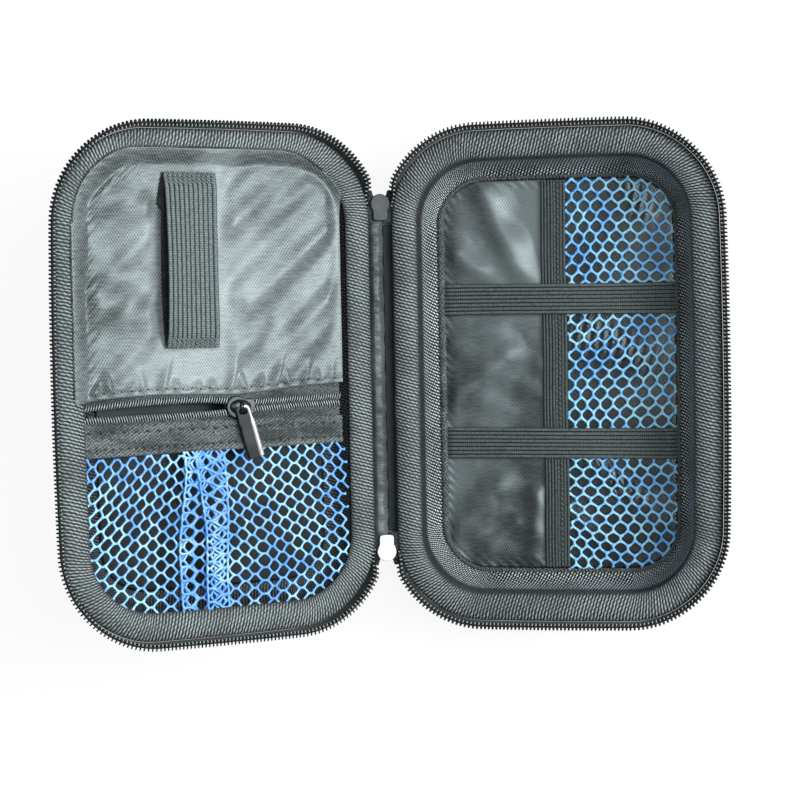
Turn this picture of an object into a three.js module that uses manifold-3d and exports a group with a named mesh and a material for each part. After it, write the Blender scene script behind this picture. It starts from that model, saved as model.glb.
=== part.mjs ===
import * as THREE from 'three';
import ManifoldModule from 'manifold-3d';

const wasm = await ManifoldModule();
wasm.setup();

// Plan outline shared by the two halves, in millimetres
const rimWidth = 132;
const rimLength = 198;
const cornerRadius = 35;
const sideBulge = 2;
const endBulge = 1;
const seatGap = 0.3;

// Deep half
const baseDepth = 32;
const baseFloor = 6;
const baseFootInset = 13.2;
const baseHeelInset = 11.8;
const baseHeelHeight = 0.9;
const baseKneeInset = 11.1;
const baseKneeHeight = 3;
const baseNeckInset = 5.8;
const baseNeckDrop = 6.5;
const baseWaistInset = 10.4;
const baseWaistHeight = 16;
const baseWellInset = 14.6;
const baseWellRise = 2.2;
const baseCoveInset = 15.6;
const baseCoveRise = 0.8;

// Shallow half
const lidDepth = 16;
const lidFloor = 2;
const lidFootInset = 12.5;
const lidHeelInset = 10.6;
const lidHeelHeight = 0.7;
const lidKneeInset = 9.8;
const lidKneeHeight = 2.2;
const lidNeckInset = 5.8;
const lidNeckDrop = 5.4;
const lidWaistInset = 9.6;
const lidWaistHeight = 7.6;
const lidWellInset = 11.8;
const lidWellRise = 2.4;
const lidCoveInset = 13.2;
const lidCoveRise = 0.9;

// Rim flange shared by the two shells
const flangeInset = 0.6;
const flangeUnderDrop = 5.2;
const lipInset = 8.2;
const throatInset = 8.7;
const throatDrop = 4;
const floorFilletInset = 16.6;

// Fabric lining pressed into each shell
const liningThickness = 0.7;
const baseLiningDrop = 3.1;
const lidLiningDrop = 5;

// Ribbed binding rolled round each rim
const bindingWidth = 9.4;
const bindingThickness = 2.5;
const bindingShoulderInset = 0.9;
const bindingShoulderDrop = 0.35;
const bindingCrownInset = 3.2;
const bindingCrownWidth = 3;
const bindingSideDrop = 1.4;
const shellRimDrop = bindingThickness + seatGap;

// Zip round the rim: slanted tape and coil of teeth
const tapeFootOffset = 0.35;
const tapeFootDrop = 2.4;
const tapeThickness = 0.75;
const tapeReach = 1.6;
const tapeRise = 2.6;
const coilGap = 0.3;
const coilWidth = 1.2;
const coilToothReach = 0.8;
const coilHeight = 1.5;
const coilPitch = 5;
const zipStartAngleShare = 0.26;

// Spine between the two halves
const spineWidth = 9;
const spineLength = 128;
const spineThickness = 1.2;
const spineSideGap = 0.3;
const spineTiltTurnShare = 18.5 / 360;
const spineSag = 0.5;
const lidTiltTurnShare = 18.5 / 360;

// Main zip sliders parked at the two ends of the spine
const sliderLength = 11;
const sliderWidth = 8;
const sliderTailWidth = 6;
const sliderPlate = 0.8;
const sliderChannel = 1.9;
const sliderGap = 0.5;
const sliderPostWidth = 1.8;
const sliderPostLength = 3;

// Bail and pull tab shared by all sliders
const bailWidth = 1.6;
const bailOpening = 2.2;
const bailLeg = 0.8;
const bailAxisDrop = 0.95;
const bailDepth = 1.75;
const pullLength = 22;
const pullWidth = 6.6;
const pullNeckWidth = 6;
const pullThickness = 1.1;
const pullBar = 1;
const pullHoleWidth = 3.4;
const pullHoleLength = 2.5;
const pullHeadLength = 4.5;
const pullPitLength = 9;
const pullPitWidth = 3;

// Satin panel over the upper part of the shallow half
const satinInset = 9.4;
const satinHingeGap = 12.2;
const satinLeftEdgeY = -4.1;
const satinRightEdgeY = -0.6;
const satinHeight = 12.1;
const satinThickness = 0.6;
const satinFold = 0.45;
const satinPucker = 0.35;
const satinPuckerPitch = 9;
const satinPuckerReach = 16;

// Elastic loop sewn on the satin
const loopLeftX = -22;
const loopWidth = 22;
const loopTopGap = 16;
const loopBottomY = 14.5;
const loopThickness = 0.9;
const loopRib = 0.35;
const loopRise = 1.5;
const loopEndRun = 6;
const tackTopLength = 4.8;
const tackBottomLength = 4;
const tackHeight = 0.6;

// Pocket zip across the shallow half
const pocketLineY = -9.4;
const pocketSlit = 1.2;
const pocketFreeGap = 10.5;
const pocketChainBendX = -29;
const pocketChainForkX = 2.5;
const pocketChainMeetX = 14.5;
const pocketHingeGap = 14;
const pocketUpperStartY = -7.6;
const pocketUpperBendY = -5;
const pocketUpperForkY = -5.4;
const pocketLowerStartY = -12.8;
const pocketLowerBendY = -12.5;
const pocketLowerForkY = -11.7;
const pocketTapeHeight = 12.1;
const pocketTapeThickness = 0.5;
const pocketTapeGap = 0.4;
const pocketCoilWidth = 1.2;
const pocketCoilHeight = 1.1;
const pocketCoilPitch = 3.6;
const pocketToothReach = 0.4;
const pocketSliderX = 8.5;
const pocketSliderLength = 12.4;
const pocketSliderWidth = 9;
const pocketSliderTailWidth = 6.4;
const pocketChannel = 1.7;
const pocketBladeWidth = 0.8;
const pocketBladeLength = 3.4;
const pocketPullTurnShare = 20 / 360;
const pocketPullDipShare = 2 / 360;

// Webbing above the net of the shallow half
const headerTopY = -14.8;
const headerLeftBottomY = -27.4;
const headerRightBottomY = -25.4;
const headerThickness = 0.8;
const headerWave = 0.25;

// Nets
const netThickness = 0.6;
const netCellX = 10.8;
const netCellY = 7.8;
const netSideShare = 0.28;
const netStrand = 2.6;
const netMargin = 1.2;
const baseNetLeftX = -1.8;
const lidNetHeight = 12.2;
const pleatLift = 1.3;
const pleatOneX = -15.8;
const pleatTwoX = -2.3;
const pleatHalfWidth = 4.6;

// Fittings on the floor of the deep half
const floorFittingInset = 17.5;
const panelRightX = -5.4;
const panelThickness = 0.6;
const panelFold = 0.5;
const centreTapeLeftX = -7.2;
const centreTapeWidth = 10.4;
const centreTapeThickness = 0.8;
const centreTapeRib = 0.3;
const bandWidth = 13;
const bandUpperY = 31.3;
const bandLowerY = -28.7;
const bandThickness = 0.8;
const bandRib = 0.35;
const bandEndRun = 5;
const bandEndDrop = 1.6;
const bandEndInset = 16;

// Shares and counts
const cornerSteps = 6;
const sideSteps = 3;
const endSteps = 3;
const bandRibCount = 8;
const loopRibCount = 11;
const centreTapeRibCount = 6;
const halfShare = 0.5;

const halfTurn = Math.PI;
const stationMargin = 0.02;
const quarterTurn = Math.PI * halfShare;
const hingeX = -rimWidth * halfShare;
const freeX = rimWidth * halfShare - sideBulge;
const endY = rimLength * halfShare - endBulge;
const hingeCoreX = hingeX + cornerRadius;
const freeCoreX = freeX - cornerRadius;
const coreY = endY - cornerRadius;
const satinRightX = rimWidth * halfShare - satinHingeGap;
const pocketChainStartX = pocketFreeGap - rimWidth * halfShare;
const pocketChainEndX = rimWidth * halfShare - pocketHingeGap;
const loopTopY = rimLength * halfShare - loopTopGap;

// Materials
function cloth(color, roughness) {
  return new THREE.MeshStandardMaterial({ color, roughness, metalness: 0 });
}

function metal(color) {
  return new THREE.MeshStandardMaterial({ color, roughness: 0.35, metalness: 0.9 });
}

const shellCloth = cloth(0x2b2c2f, 0.85);
const bindingCloth = cloth(0x313236, 0.8);
const liningCloth = cloth(0x36373a, 0.9);
const satinCloth = cloth(0x707276, 0.45);
const darkSatin = cloth(0x4a4b4f, 0.45);
const elasticCloth = cloth(0x222325, 0.75);
const coilNylon = cloth(0x1f2022, 0.5);
const netCloth = cloth(0x4f9fe6, 0.7);
const sliderMetal = metal(0x55565a);

// Points of the rim path, each a corner centre and a direction
function arcStations(centreX, centreY, fromAngle, toAngle, steps) {
  const stations = [];
  for (let i = 0; i <= steps; i += 1) {
    stations.push({ centreX, centreY, angle: fromAngle + ((toAngle - fromAngle) * i) / steps });
  }
  return stations;
}

function sideStations(fromX, fromY, toX, toY, angle, steps) {
  const stations = [];
  for (let i = 1; i < steps; i += 1) {
    const share = i / steps;
    const centreX = fromX + (toX - fromX) * share;
    const centreY = fromY + (toY - fromY) * share;
    stations.push({ centreX, centreY, angle });
  }
  return stations;
}

function rimStations() {
  return [
    ...arcStations(hingeCoreX, coreY, halfTurn, quarterTurn, cornerSteps),
    ...sideStations(hingeCoreX, coreY, freeCoreX, coreY, quarterTurn, endSteps),
    ...arcStations(freeCoreX, coreY, quarterTurn, 0, cornerSteps),
    ...sideStations(freeCoreX, coreY, freeCoreX, -coreY, 0, sideSteps),
    ...arcStations(freeCoreX, -coreY, 0, -quarterTurn, cornerSteps),
    ...sideStations(freeCoreX, -coreY, hingeCoreX, -coreY, -quarterTurn, endSteps),
    ...arcStations(hingeCoreX, -coreY, -quarterTurn, -halfTurn, cornerSteps),
    ...sideStations(hingeCoreX, -coreY, hingeCoreX, coreY, halfTurn, sideSteps),
  ];
}

function bulged(x, y) {
  const along = 1 - (y / endY) * (y / endY);
  const across = 1 - (x / hingeX) * (x / hingeX);
  const bulgedX = x > 0 ? x + sideBulge * Math.max(along, 0) * (x / freeX) : x;
  const bulgedY = y + endBulge * Math.max(across, 0) * (y / endY);
  return [bulgedX, bulgedY];
}

function stationPoint(station, inset, height) {
  const radius = cornerRadius - inset;
  const x = station.centreX + radius * Math.cos(station.angle);
  const y = station.centreY + radius * Math.sin(station.angle);
  const [bulgedX, bulgedY] = bulged(x, y);
  return new THREE.Vector3(bulgedX, bulgedY, height);
}

// Even spacing along the zipped sides of the rim
function zipPieces() {
  const spare = quarterTurn * zipStartAngleShare;
  return [
    { arc: true, x: hingeCoreX, y: coreY, from: halfTurn - spare, to: quarterTurn },
    { x: hingeCoreX, y: coreY, toX: freeCoreX, toY: coreY, angle: quarterTurn },
    { arc: true, x: freeCoreX, y: coreY, from: quarterTurn, to: 0 },
    { x: freeCoreX, y: coreY, toX: freeCoreX, toY: -coreY, angle: 0 },
    { arc: true, x: freeCoreX, y: -coreY, from: 0, to: -quarterTurn },
    { x: freeCoreX, y: -coreY, toX: hingeCoreX, toY: -coreY, angle: -quarterTurn },
    { arc: true, x: hingeCoreX, y: -coreY, from: -quarterTurn, to: spare - halfTurn },
  ];
}

function pieceLength(piece) {
  if (piece.arc) {
    return Math.abs(piece.to - piece.from) * cornerRadius;
  }
  return Math.hypot(piece.toX - piece.x, piece.toY - piece.y);
}

function pieceStation(piece, share) {
  if (piece.arc) {
    const angle = piece.from + (piece.to - piece.from) * share;
    return { centreX: piece.x, centreY: piece.y, angle };
  }
  const centreX = piece.x + (piece.toX - piece.x) * share;
  const centreY = piece.y + (piece.toY - piece.y) * share;
  return { centreX, centreY, angle: piece.angle };
}

function zipStations(count) {
  const pieces = zipPieces();
  const lengths = pieces.map(pieceLength);
  const total = lengths.reduce((sum, length) => sum + length, 0);
  const stations = [];
  for (let i = 0; i <= count; i += 1) {
    let rest = (total * i) / count;
    let index = 0;
    while (index < pieces.length - 1 && rest > lengths[index]) {
      rest -= lengths[index];
      index += 1;
    }
    stations.push(pieceStation(pieces[index], Math.min(rest / lengths[index], 1)));
  }
  return stations;
}

// Closed solids from rings and grids of points
function solid(points, faces) {
  let volume = 0;
  for (const [a, b, c] of faces) {
    const cross = new THREE.Vector3().crossVectors(points[b], points[c]);
    volume += points[a].dot(cross);
  }
  const turned = volume < 0 ? faces.map(([a, b, c]) => [a, c, b]) : faces;
  const geometry = new THREE.BufferGeometry();
  const values = points.flatMap((point) => [point.x, point.y, point.z]);
  geometry.setAttribute('position', new THREE.Float32BufferAttribute(values, 3));
  geometry.setIndex(turned.flat());
  geometry.computeVertexNormals();
  return geometry;
}

function quad(faces, a, b, c, d) {
  faces.push([a, b, c], [a, c, d]);
}

function loftSolid(rings) {
  const size = rings[0].length;
  const points = rings.flat();
  const faces = [];
  for (let r = 0; r + 1 < rings.length; r += 1) {
    for (let i = 0; i < size; i += 1) {
      const next = (i + 1) % size;
      quad(faces, r * size + i, r * size + next, (r + 1) * size + next, (r + 1) * size + i);
    }
  }
  capRing(points, faces, 0, size, false);
  capRing(points, faces, (rings.length - 1) * size, size, true);
  return solid(points, faces);
}

function capRing(points, faces, start, size, last) {
  const centre = new THREE.Vector3();
  for (let i = 0; i < size; i += 1) {
    centre.addScaledVector(points[start + i], 1 / size);
  }
  const hub = points.push(centre) - 1;
  for (let i = 0; i < size; i += 1) {
    const here = start + i;
    const next = start + ((i + 1) % size);
    faces.push(last ? [here, next, hub] : [next, here, hub]);
  }
}

function hoopSolid(rings) {
  const size = rings[0].length;
  const points = rings.flat();
  const faces = [];
  for (let r = 0; r < rings.length; r += 1) {
    const after = (r + 1) % rings.length;
    for (let i = 0; i < size; i += 1) {
      const next = (i + 1) % size;
      quad(faces, r * size + i, r * size + next, after * size + next, after * size + i);
    }
  }
  return solid(points, faces);
}

// A section carried through a list of frames, with flat ends
function sweptSolid(sections) {
  const size = sections[0].points.length;
  const points = sections.flatMap((section) => section.points);
  const faces = [];
  for (let s = 0; s + 1 < sections.length; s += 1) {
    for (let i = 0; i < size; i += 1) {
      const next = (i + 1) % size;
      quad(faces, s * size + i, s * size + next, (s + 1) * size + next, (s + 1) * size + i);
    }
  }
  const flat = sections[0].flat.map(([x, y]) => new THREE.Vector2(x, y));
  const caps = THREE.ShapeUtils.triangulateShape(flat, []);
  const forward = THREE.ShapeUtils.area(flat) > 0;
  const last = (sections.length - 1) * size;
  for (const [a, b, c] of caps) {
    faces.push(forward ? [c, b, a] : [a, b, c]);
    faces.push(forward ? [last + a, last + b, last + c] : [last + c, last + b, last + a]);
  }
  return solid(points, faces);
}

// A thin cloth given by its upper face over a grid
function sheetSolid(columns, rows, thickness, place) {
  const points = [];
  const faces = [];
  const size = (columns + 1) * (rows + 1);
  for (const drop of [0, thickness]) {
    for (let row = 0; row <= rows; row += 1) {
      for (let column = 0; column <= columns; column += 1) {
        const [x, y, z] = place(column / columns, row / rows);
        points.push(new THREE.Vector3(x, y, z - drop));
      }
    }
  }
  const at = (column, row) => row * (columns + 1) + column;
  for (let row = 0; row < rows; row += 1) {
    for (let column = 0; column < columns; column += 1) {
      const a = at(column, row);
      const b = at(column + 1, row);
      const c = at(column + 1, row + 1);
      const d = at(column, row + 1);
      quad(faces, a, b, c, d);
      quad(faces, size + a, size + d, size + c, size + b);
    }
  }
  const rim = [];
  for (let column = 0; column < columns; column += 1) rim.push(at(column, 0));
  for (let row = 0; row < rows; row += 1) rim.push(at(columns, row));
  for (let column = columns; column > 0; column -= 1) rim.push(at(column, rows));
  for (let row = rows; row > 0; row -= 1) rim.push(at(0, row));
  for (let i = 0; i < rim.length; i += 1) {
    const here = rim[i];
    const next = rim[(i + 1) % rim.length];
    quad(faces, here, size + here, size + next, next);
  }
  return solid(points, faces);
}

// Booleans on closed solids
function toManifold(geometry) {
  const source = geometry.index ? geometry : indexed(geometry);
  return new wasm.Manifold(new wasm.Mesh({
    numProp: 3,
    vertProperties: Float32Array.from(source.getAttribute('position').array),
    triVerts: Uint32Array.from(source.index.array),
  }));
}

function indexed(geometry) {
  const positions = geometry.getAttribute('position');
  const keys = new Map();
  const values = [];
  const order = [];
  for (let i = 0; i < positions.count; i += 1) {
    const point = [positions.getX(i), positions.getY(i), positions.getZ(i)];
    const key = point.map((value) => value.toFixed(5)).join(' ');
    if (!keys.has(key)) {
      keys.set(key, values.length / 3);
      values.push(...point);
    }
    order.push(keys.get(key));
  }
  const result = new THREE.BufferGeometry();
  result.setAttribute('position', new THREE.Float32BufferAttribute(values, 3));
  result.setIndex(order);
  return result;
}

function united(geometries) {
  let sum = toManifold(geometries[0]);
  for (const geometry of geometries.slice(1)) {
    sum = sum.add(toManifold(geometry));
  }
  return fromManifold(sum);
}

function cut(body, tool) {
  return fromManifold(toManifold(body).subtract(toManifold(tool)));
}

function fromManifold(manifold) {
  const mesh = manifold.getMesh();
  const geometry = new THREE.BufferGeometry();
  geometry.setAttribute('position', new THREE.BufferAttribute(new Float32Array(mesh.vertProperties), 3));
  geometry.setIndex(Array.from(mesh.triVerts));
  geometry.computeVertexNormals();
  return geometry;
}

function slab(shape, depth) {
  return indexed(new THREE.ExtrudeGeometry(shape, { depth, bevelEnabled: false, curveSegments: 4 }));
}

function polygon(points) {
  const flat = points.map(([x, y]) => new THREE.Vector2(x, y));
  return new THREE.Shape(THREE.ShapeUtils.area(flat) > 0 ? flat : flat.reverse());
}

function block(fromX, toX, fromY, toY, fromZ, toZ) {
  const shape = polygon([[fromX, fromY], [toX, fromY], [toX, toY], [fromX, toY]]);
  const geometry = slab(shape, toZ - fromZ);
  geometry.translate(0, 0, fromZ);
  return geometry;
}

function named(name, geometry, material) {
  const mesh = new THREE.Mesh(geometry, material);
  mesh.name = name;
  return mesh;
}

// Moulded shell: floor, leaning wall, flange at the rim
function shellGeometry(tray) {
  const shellTop = tray.depth - shellRimDrop;
  const profile = [
    [tray.footInset, 0],
    [tray.heelInset, tray.heelHeight],
    [tray.kneeInset, tray.kneeHeight],
    [tray.neckInset, tray.depth - tray.neckDrop],
    [flangeInset, tray.depth - flangeUnderDrop + seatGap],
    [flangeInset, shellTop],
    [lipInset, shellTop],
    [throatInset, tray.depth - throatDrop],
    ...wellProfile(tray, 0),
  ];
  const stations = rimStations();
  return loftSolid(profile.map(([inset, height]) => (
    stations.map((station) => stationPoint(station, inset, height)))));
}

function wellProfile(tray, shift) {
  return [
    [tray.waistInset + shift, tray.waistHeight],
    [tray.wellInset + shift, tray.floor + tray.wellRise + shift * halfShare],
    [tray.coveInset + shift * halfShare, tray.floor + tray.coveRise + shift],
    [floorFilletInset + shift * halfShare, tray.floor + shift],
  ];
}

// Thin cloth lining that follows the well of the shell
function liningGeometry(tray) {
  const outer = wellProfile(tray, seatGap).reverse();
  const inner = wellProfile(tray, seatGap + liningThickness);
  const top = tray.depth - tray.liningDrop;
  const profile = [
    ...outer,
    [throatInset + seatGap + seatGap * halfShare, top],
    [throatInset + seatGap + liningThickness + seatGap * halfShare, top],
    ...inner,
  ];
  const stations = rimStations();
  return loftSolid(profile.map(([inset, height]) => (
    stations.map((station) => stationPoint(station, inset, height)))));
}

// Rolled binding, a closed hoop round the rim
function bindingGeometry(tray) {
  const foot = tray.depth - bindingThickness;
  const crownEnd = bindingCrownInset + bindingCrownWidth;
  const profile = [
    [0, foot],
    [-seatGap * halfShare, tray.depth - bindingSideDrop],
    [bindingShoulderInset, tray.depth - bindingShoulderDrop],
    [bindingCrownInset, tray.depth],
    [crownEnd, tray.depth],
    [bindingWidth - bindingShoulderInset, tray.depth - bindingShoulderDrop],
    [bindingWidth, tray.depth - bindingSideDrop],
    [bindingWidth - seatGap, foot],
  ];
  return hoopSolid(rimStations().map((station) => (
    profile.map(([inset, height]) => stationPoint(station, inset, height)))));
}

function zipSweep(stations, sectionAt) {
  return sweptSolid(stations.map((station, i) => {
    const flat = sectionAt(i);
    return { flat, points: flat.map(([inset, height]) => stationPoint(station, inset, height)) };
  }));
}

// Slanted tape along the zipped sides
function zipTapeGeometry(tray) {
  const foot = tray.depth - tapeFootDrop;
  const tip = tray.depth + tapeRise;
  const section = [
    [-tapeFootOffset, foot],
    [-tapeFootOffset - tapeThickness, foot],
    [-tapeFootOffset - tapeThickness - tapeReach, tip],
    [-tapeFootOffset - tapeReach, tip],
  ];
  return zipSweep(tapeStations(), () => section);
}

// The rim stations between the two ends of the zip
function tapeStations() {
  const [first] = zipStations(1);
  const last = { ...first, centreY: -first.centreY, angle: -first.angle };
  const between = rimStations().filter(({ angle }) => (
    angle < first.angle - stationMargin && angle > stationMargin - first.angle));
  return [first, ...between, last];
}

// Coil whose teeth stand out at an even pitch
function zipCoilGeometry(tray) {
  const lowHeight = tray.depth + tapeRise + coilGap;
  const innerInset = -tapeFootOffset - tapeReach + coilWidth * halfShare * halfShare;
  const length = zipPieces().map(pieceLength).reduce((sum, value) => sum + value, 0);
  const count = 2 * Math.round(length / coilPitch);
  return zipSweep(zipStations(count), (i) => {
    const reach = i % 2 ? coilToothReach : 0;
    return [
      [innerInset, lowHeight],
      [innerInset - coilWidth - reach, lowHeight + coilHeight * halfShare],
      [innerInset - coilWidth * halfShare, lowHeight + coilHeight],
    ];
  });
}

function halfPieces(prefix, tray) {
  return [
    named(`${prefix}_shell`, shellGeometry(tray), shellCloth),
    named(`${prefix}_inner_lining`, liningGeometry(tray), liningCloth),
    named(`${prefix}_rim_binding`, bindingGeometry(tray), bindingCloth),
    named(`${prefix}_zip_tape`, zipTapeGeometry(tray), bindingCloth),
    named(`${prefix}_zip_coil`, zipCoilGeometry(tray), coilNylon),
  ];
}

// Half length of the plan at x, measured inside the rim by an inset
function planReach(x, inset) {
  const radius = cornerRadius - inset;
  let over = 0;
  if (x < hingeCoreX) over = hingeCoreX - x;
  if (x > freeCoreX) over = x - freeCoreX;
  const clipped = Math.min(over, radius);
  return coreY + Math.sqrt(radius * radius - clipped * clipped);
}

// Ribbed woven strap: ribs run along its length
function ribbedSection(width, thickness, rib, count) {
  const section = [[0, 0], [width, 0]];
  const step = width / (2 * count);
  for (let i = 0; i <= 2 * count; i += 1) {
    section.push([width - step * i, thickness - (i % 2 ? 0 : rib)]);
  }
  return section;
}

function strapGeometry(section, path, placeAcross) {
  return sweptSolid(path.map(([along, lift]) => ({
    flat: section,
    points: section.map(([across, up]) => placeAcross(along, across, up + lift)),
  })));
}

function archPath(from, to, run, drop, steps) {
  const path = [[from, -drop], [from + run * halfShare, -drop * halfShare * halfShare]];
  for (let i = 0; i <= steps; i += 1) {
    path.push([from + run + ((to - from - 2 * run) * i) / steps, 0]);
  }
  path.push([to - run * halfShare, -drop * halfShare * halfShare], [to, -drop]);
  return path;
}

// Net of hexagonal meshes inside a boundary; the rows of a turned net run along Y
function netGeometry(boundary, inside, lift, turned) {
  const shape = polygon(boundary);
  const xs = boundary.map(([x]) => x);
  const ys = boundary.map(([, y]) => y);
  const middleX = (Math.min(...xs) + Math.max(...xs)) * halfShare;
  const middleY = (Math.min(...ys) + Math.max(...ys)) * halfShare;
  const halfX = Math.max(...xs) - middleX;
  const halfY = Math.max(...ys) - middleY;
  const reachAlong = Math.ceil((turned ? halfY : halfX) / netCellX) + 1;
  const reachAcross = Math.ceil((turned ? halfX : halfY) / netCellY) + 1;
  for (let row = -reachAcross; row <= reachAcross; row += 1) {
    const shift = row % 2 ? netCellX * halfShare : 0;
    for (let column = -reachAlong; column <= reachAlong; column += 1) {
      const hole = meshHole(column * netCellX + shift, row * netCellY).map(([along, across]) => (
        turned ? [middleX + across, middleY + along] : [middleX + along, middleY + across]));
      if (hole.every(([x, y]) => inside(x, y))) {
        shape.holes.push(new THREE.Path(hole.map(([x, y]) => new THREE.Vector2(x, y))));
      }
    }
  }
  const geometry = slab(shape, netThickness);
  const positions = geometry.getAttribute('position');
  for (let i = 0; i < positions.count; i += 1) {
    positions.setZ(i, positions.getZ(i) + lift(positions.getX(i), positions.getY(i)));
  }
  geometry.computeVertexNormals();
  return geometry;
}

function meshHole(x, y) {
  const halfX = (netCellX - netStrand) * halfShare;
  const slantRise = netCellY * (1 - netSideShare);
  const slope = slantRise / (netCellX * halfShare);
  const strandRise = netStrand * halfShare * Math.hypot(1, slope);
  const peakY = slantRise + netCellY * netSideShare * halfShare - strandRise;
  const sideY = peakY - halfX * slope;
  return [
    [x, y + peakY],
    [x + halfX, y + sideY],
    [x + halfX, y - sideY],
    [x, y - peakY],
    [x - halfX, y - sideY],
    [x - halfX, y + sideY],
  ];
}

const baseTray = {
  depth: baseDepth,
  floor: baseFloor,
  footInset: baseFootInset,
  heelInset: baseHeelInset,
  heelHeight: baseHeelHeight,
  kneeInset: baseKneeInset,
  kneeHeight: baseKneeHeight,
  neckInset: baseNeckInset,
  neckDrop: baseNeckDrop,
  waistInset: baseWaistInset,
  waistHeight: baseWaistHeight,
  wellInset: baseWellInset,
  wellRise: baseWellRise,
  coveInset: baseCoveInset,
  coveRise: baseCoveRise,
  liningDrop: baseLiningDrop,
};

const lidTray = {
  depth: lidDepth,
  floor: lidFloor,
  footInset: lidFootInset,
  heelInset: lidHeelInset,
  heelHeight: lidHeelHeight,
  kneeInset: lidKneeInset,
  kneeHeight: lidKneeHeight,
  neckInset: lidNeckInset,
  neckDrop: lidNeckDrop,
  waistInset: lidWaistInset,
  waistHeight: lidWaistHeight,
  wellInset: lidWellInset,
  wellRise: lidWellRise,
  coveInset: lidCoveInset,
  coveRise: lidCoveRise,
  liningDrop: lidLiningDrop,
};

// Levels of the fittings on the floor of the deep half
const floorTop = baseFloor + seatGap + liningThickness;
const panelTop = floorTop + seatGap + panelThickness;
const centreTapeFoot = panelTop + seatGap + panelFold;
const bandFoot = centreTapeFoot + centreTapeThickness + seatGap;

// Satin pocket panel with slanting folds
function pocketPanelGeometry() {
  const leftX = hingeX + floorFittingInset;
  return sheetSolid(12, 18, panelThickness, (u, v) => {
    const x = leftX + (panelRightX - leftX) * (1 - Math.cos(u * quarterTurn));
    const reach = planReach(x, floorFittingInset);
    const y = reach * (2 * v - 1);
    const fade = Math.min(Math.sin(u * halfTurn) * Math.sin(v * halfTurn) * 2, 1);
    const wave = Math.sin((y / reach) * 3 * halfTurn + (x / leftX) * halfTurn);
    return [x, y, panelTop + panelFold * halfShare * fade * (1 + wave)];
  });
}

function baseNetBoundary() {
  const points = [[baseNetLeftX, -planReach(baseNetLeftX, floorFittingInset)]];
  for (const station of rimStations()) {
    const point = stationPoint(station, floorFittingInset, 0);
    if (point.x > baseNetLeftX + netStrand) points.push([point.x, point.y]);
  }
  return [points[0], ...points.slice(1).reverse(), [baseNetLeftX, -points[0][1]]];
}

function baseNetGeometry() {
  const inside = (x, y) => (
    x > centreTapeLeftX + centreTapeWidth + netMargin
    && x < freeX - floorFittingInset - netMargin
    && Math.abs(y) < planReach(x, floorFittingInset + netMargin));
  return netGeometry(baseNetBoundary(), inside, () => panelTop, false);
}

function centreTapeGeometry() {
  const section = ribbedSection(centreTapeWidth, centreTapeThickness, centreTapeRib, centreTapeRibCount);
  const reach = endY - floorFittingInset;
  const path = [-reach, -reach * halfShare, 0, reach * halfShare, reach].map((y) => [y, centreTapeFoot]);
  return strapGeometry(section, path, (along, across, up) => (
    new THREE.Vector3(centreTapeLeftX + across, along, up)));
}

function bandGeometry(middleY) {
  const section = ribbedSection(bandWidth, bandThickness, bandRib, bandRibCount);
  const fromX = hingeX + bandEndInset;
  const toX = freeX - bandEndInset + sideBulge * halfShare;
  const path = archPath(fromX, toX, bandEndRun, bandEndDrop, 2);
  return strapGeometry(section, path, (along, across, up) => (
    new THREE.Vector3(along, middleY - bandWidth * halfShare + across, up + bandFoot)));
}

function baseFittings() {
  return [
    named('base_pocket_panel', pocketPanelGeometry(), darkSatin),
    named('base_mesh_net', baseNetGeometry(), netCloth),
    named('base_centre_tape', centreTapeGeometry(), elasticCloth),
    named('base_elastic_band_upper', bandGeometry(bandUpperY), elasticCloth),
    named('base_elastic_band_lower', bandGeometry(bandLowerY), elasticCloth),
  ];
}

// Slider body: two plates, a post at the mouth and a bail
function sliderOutline(length, width, tailWidth) {
  const halfLength = length * halfShare;
  const halfWidth = width * halfShare;
  const halfTail = tailWidth * halfShare;
  const corner = halfTail * halfShare;
  return polygon([
    [-halfTail, -halfLength],
    [halfTail, -halfLength],
    [halfTail, -corner],
    [halfWidth, corner],
    [halfWidth, halfLength - corner],
    [halfWidth - corner, halfLength],
    [corner - halfWidth, halfLength],
    [-halfWidth, halfLength - corner],
    [-halfWidth, corner],
    [-halfTail, -corner],
  ]);
}

function bailGeometry(turn) {
  const outer = bailOpening * halfShare + bailLeg;
  const inner = bailOpening * halfShare;
  const side = [
    [-outer, -bailAxisDrop],
    [-inner, -bailAxisDrop],
    [-inner, bailAxisDrop],
    [inner, bailAxisDrop],
    [inner, -bailAxisDrop],
    [outer, -bailAxisDrop],
    [outer, bailDepth - bailLeg * halfShare],
    [outer - bailLeg * halfShare, bailDepth],
    [bailLeg * halfShare - outer, bailDepth],
    [-outer, bailDepth - bailLeg * halfShare],
  ];
  const geometry = slab(polygon(side), bailWidth);
  geometry.translate(0, 0, -bailWidth * halfShare);
  geometry.rotateX(quarterTurn);
  geometry.rotateZ(turn);
  return geometry;
}

// Built with its mouth along +Y and its bail above
function sliderBody(length, width, tailWidth, channel, postWidth, postLength, bailTurn) {
  const lower = slab(sliderOutline(length, width, tailWidth), sliderPlate);
  const upper = slab(sliderOutline(length, width, tailWidth), sliderPlate);
  upper.translate(0, 0, sliderPlate + channel);
  const mouth = length * halfShare - postLength * halfShare;
  const overlap = sliderPlate * halfShare;
  const post = block(
    -postWidth * halfShare,
    postWidth * halfShare,
    mouth - postLength,
    mouth,
    overlap,
    sliderPlate + channel + overlap,
  );
  const bail = bailGeometry(bailTurn);
  bail.translate(0, 0, sliderTopHeight(channel) + bailAxisDrop - overlap * halfShare);
  return united([lower, upper, post, bail]);
}

function sliderTopHeight(channel) {
  return 2 * sliderPlate + channel;
}

function sliderAxisHeight(channel) {
  return sliderTopHeight(channel) + bailAxisDrop - sliderPlate * halfShare * halfShare;
}

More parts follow.
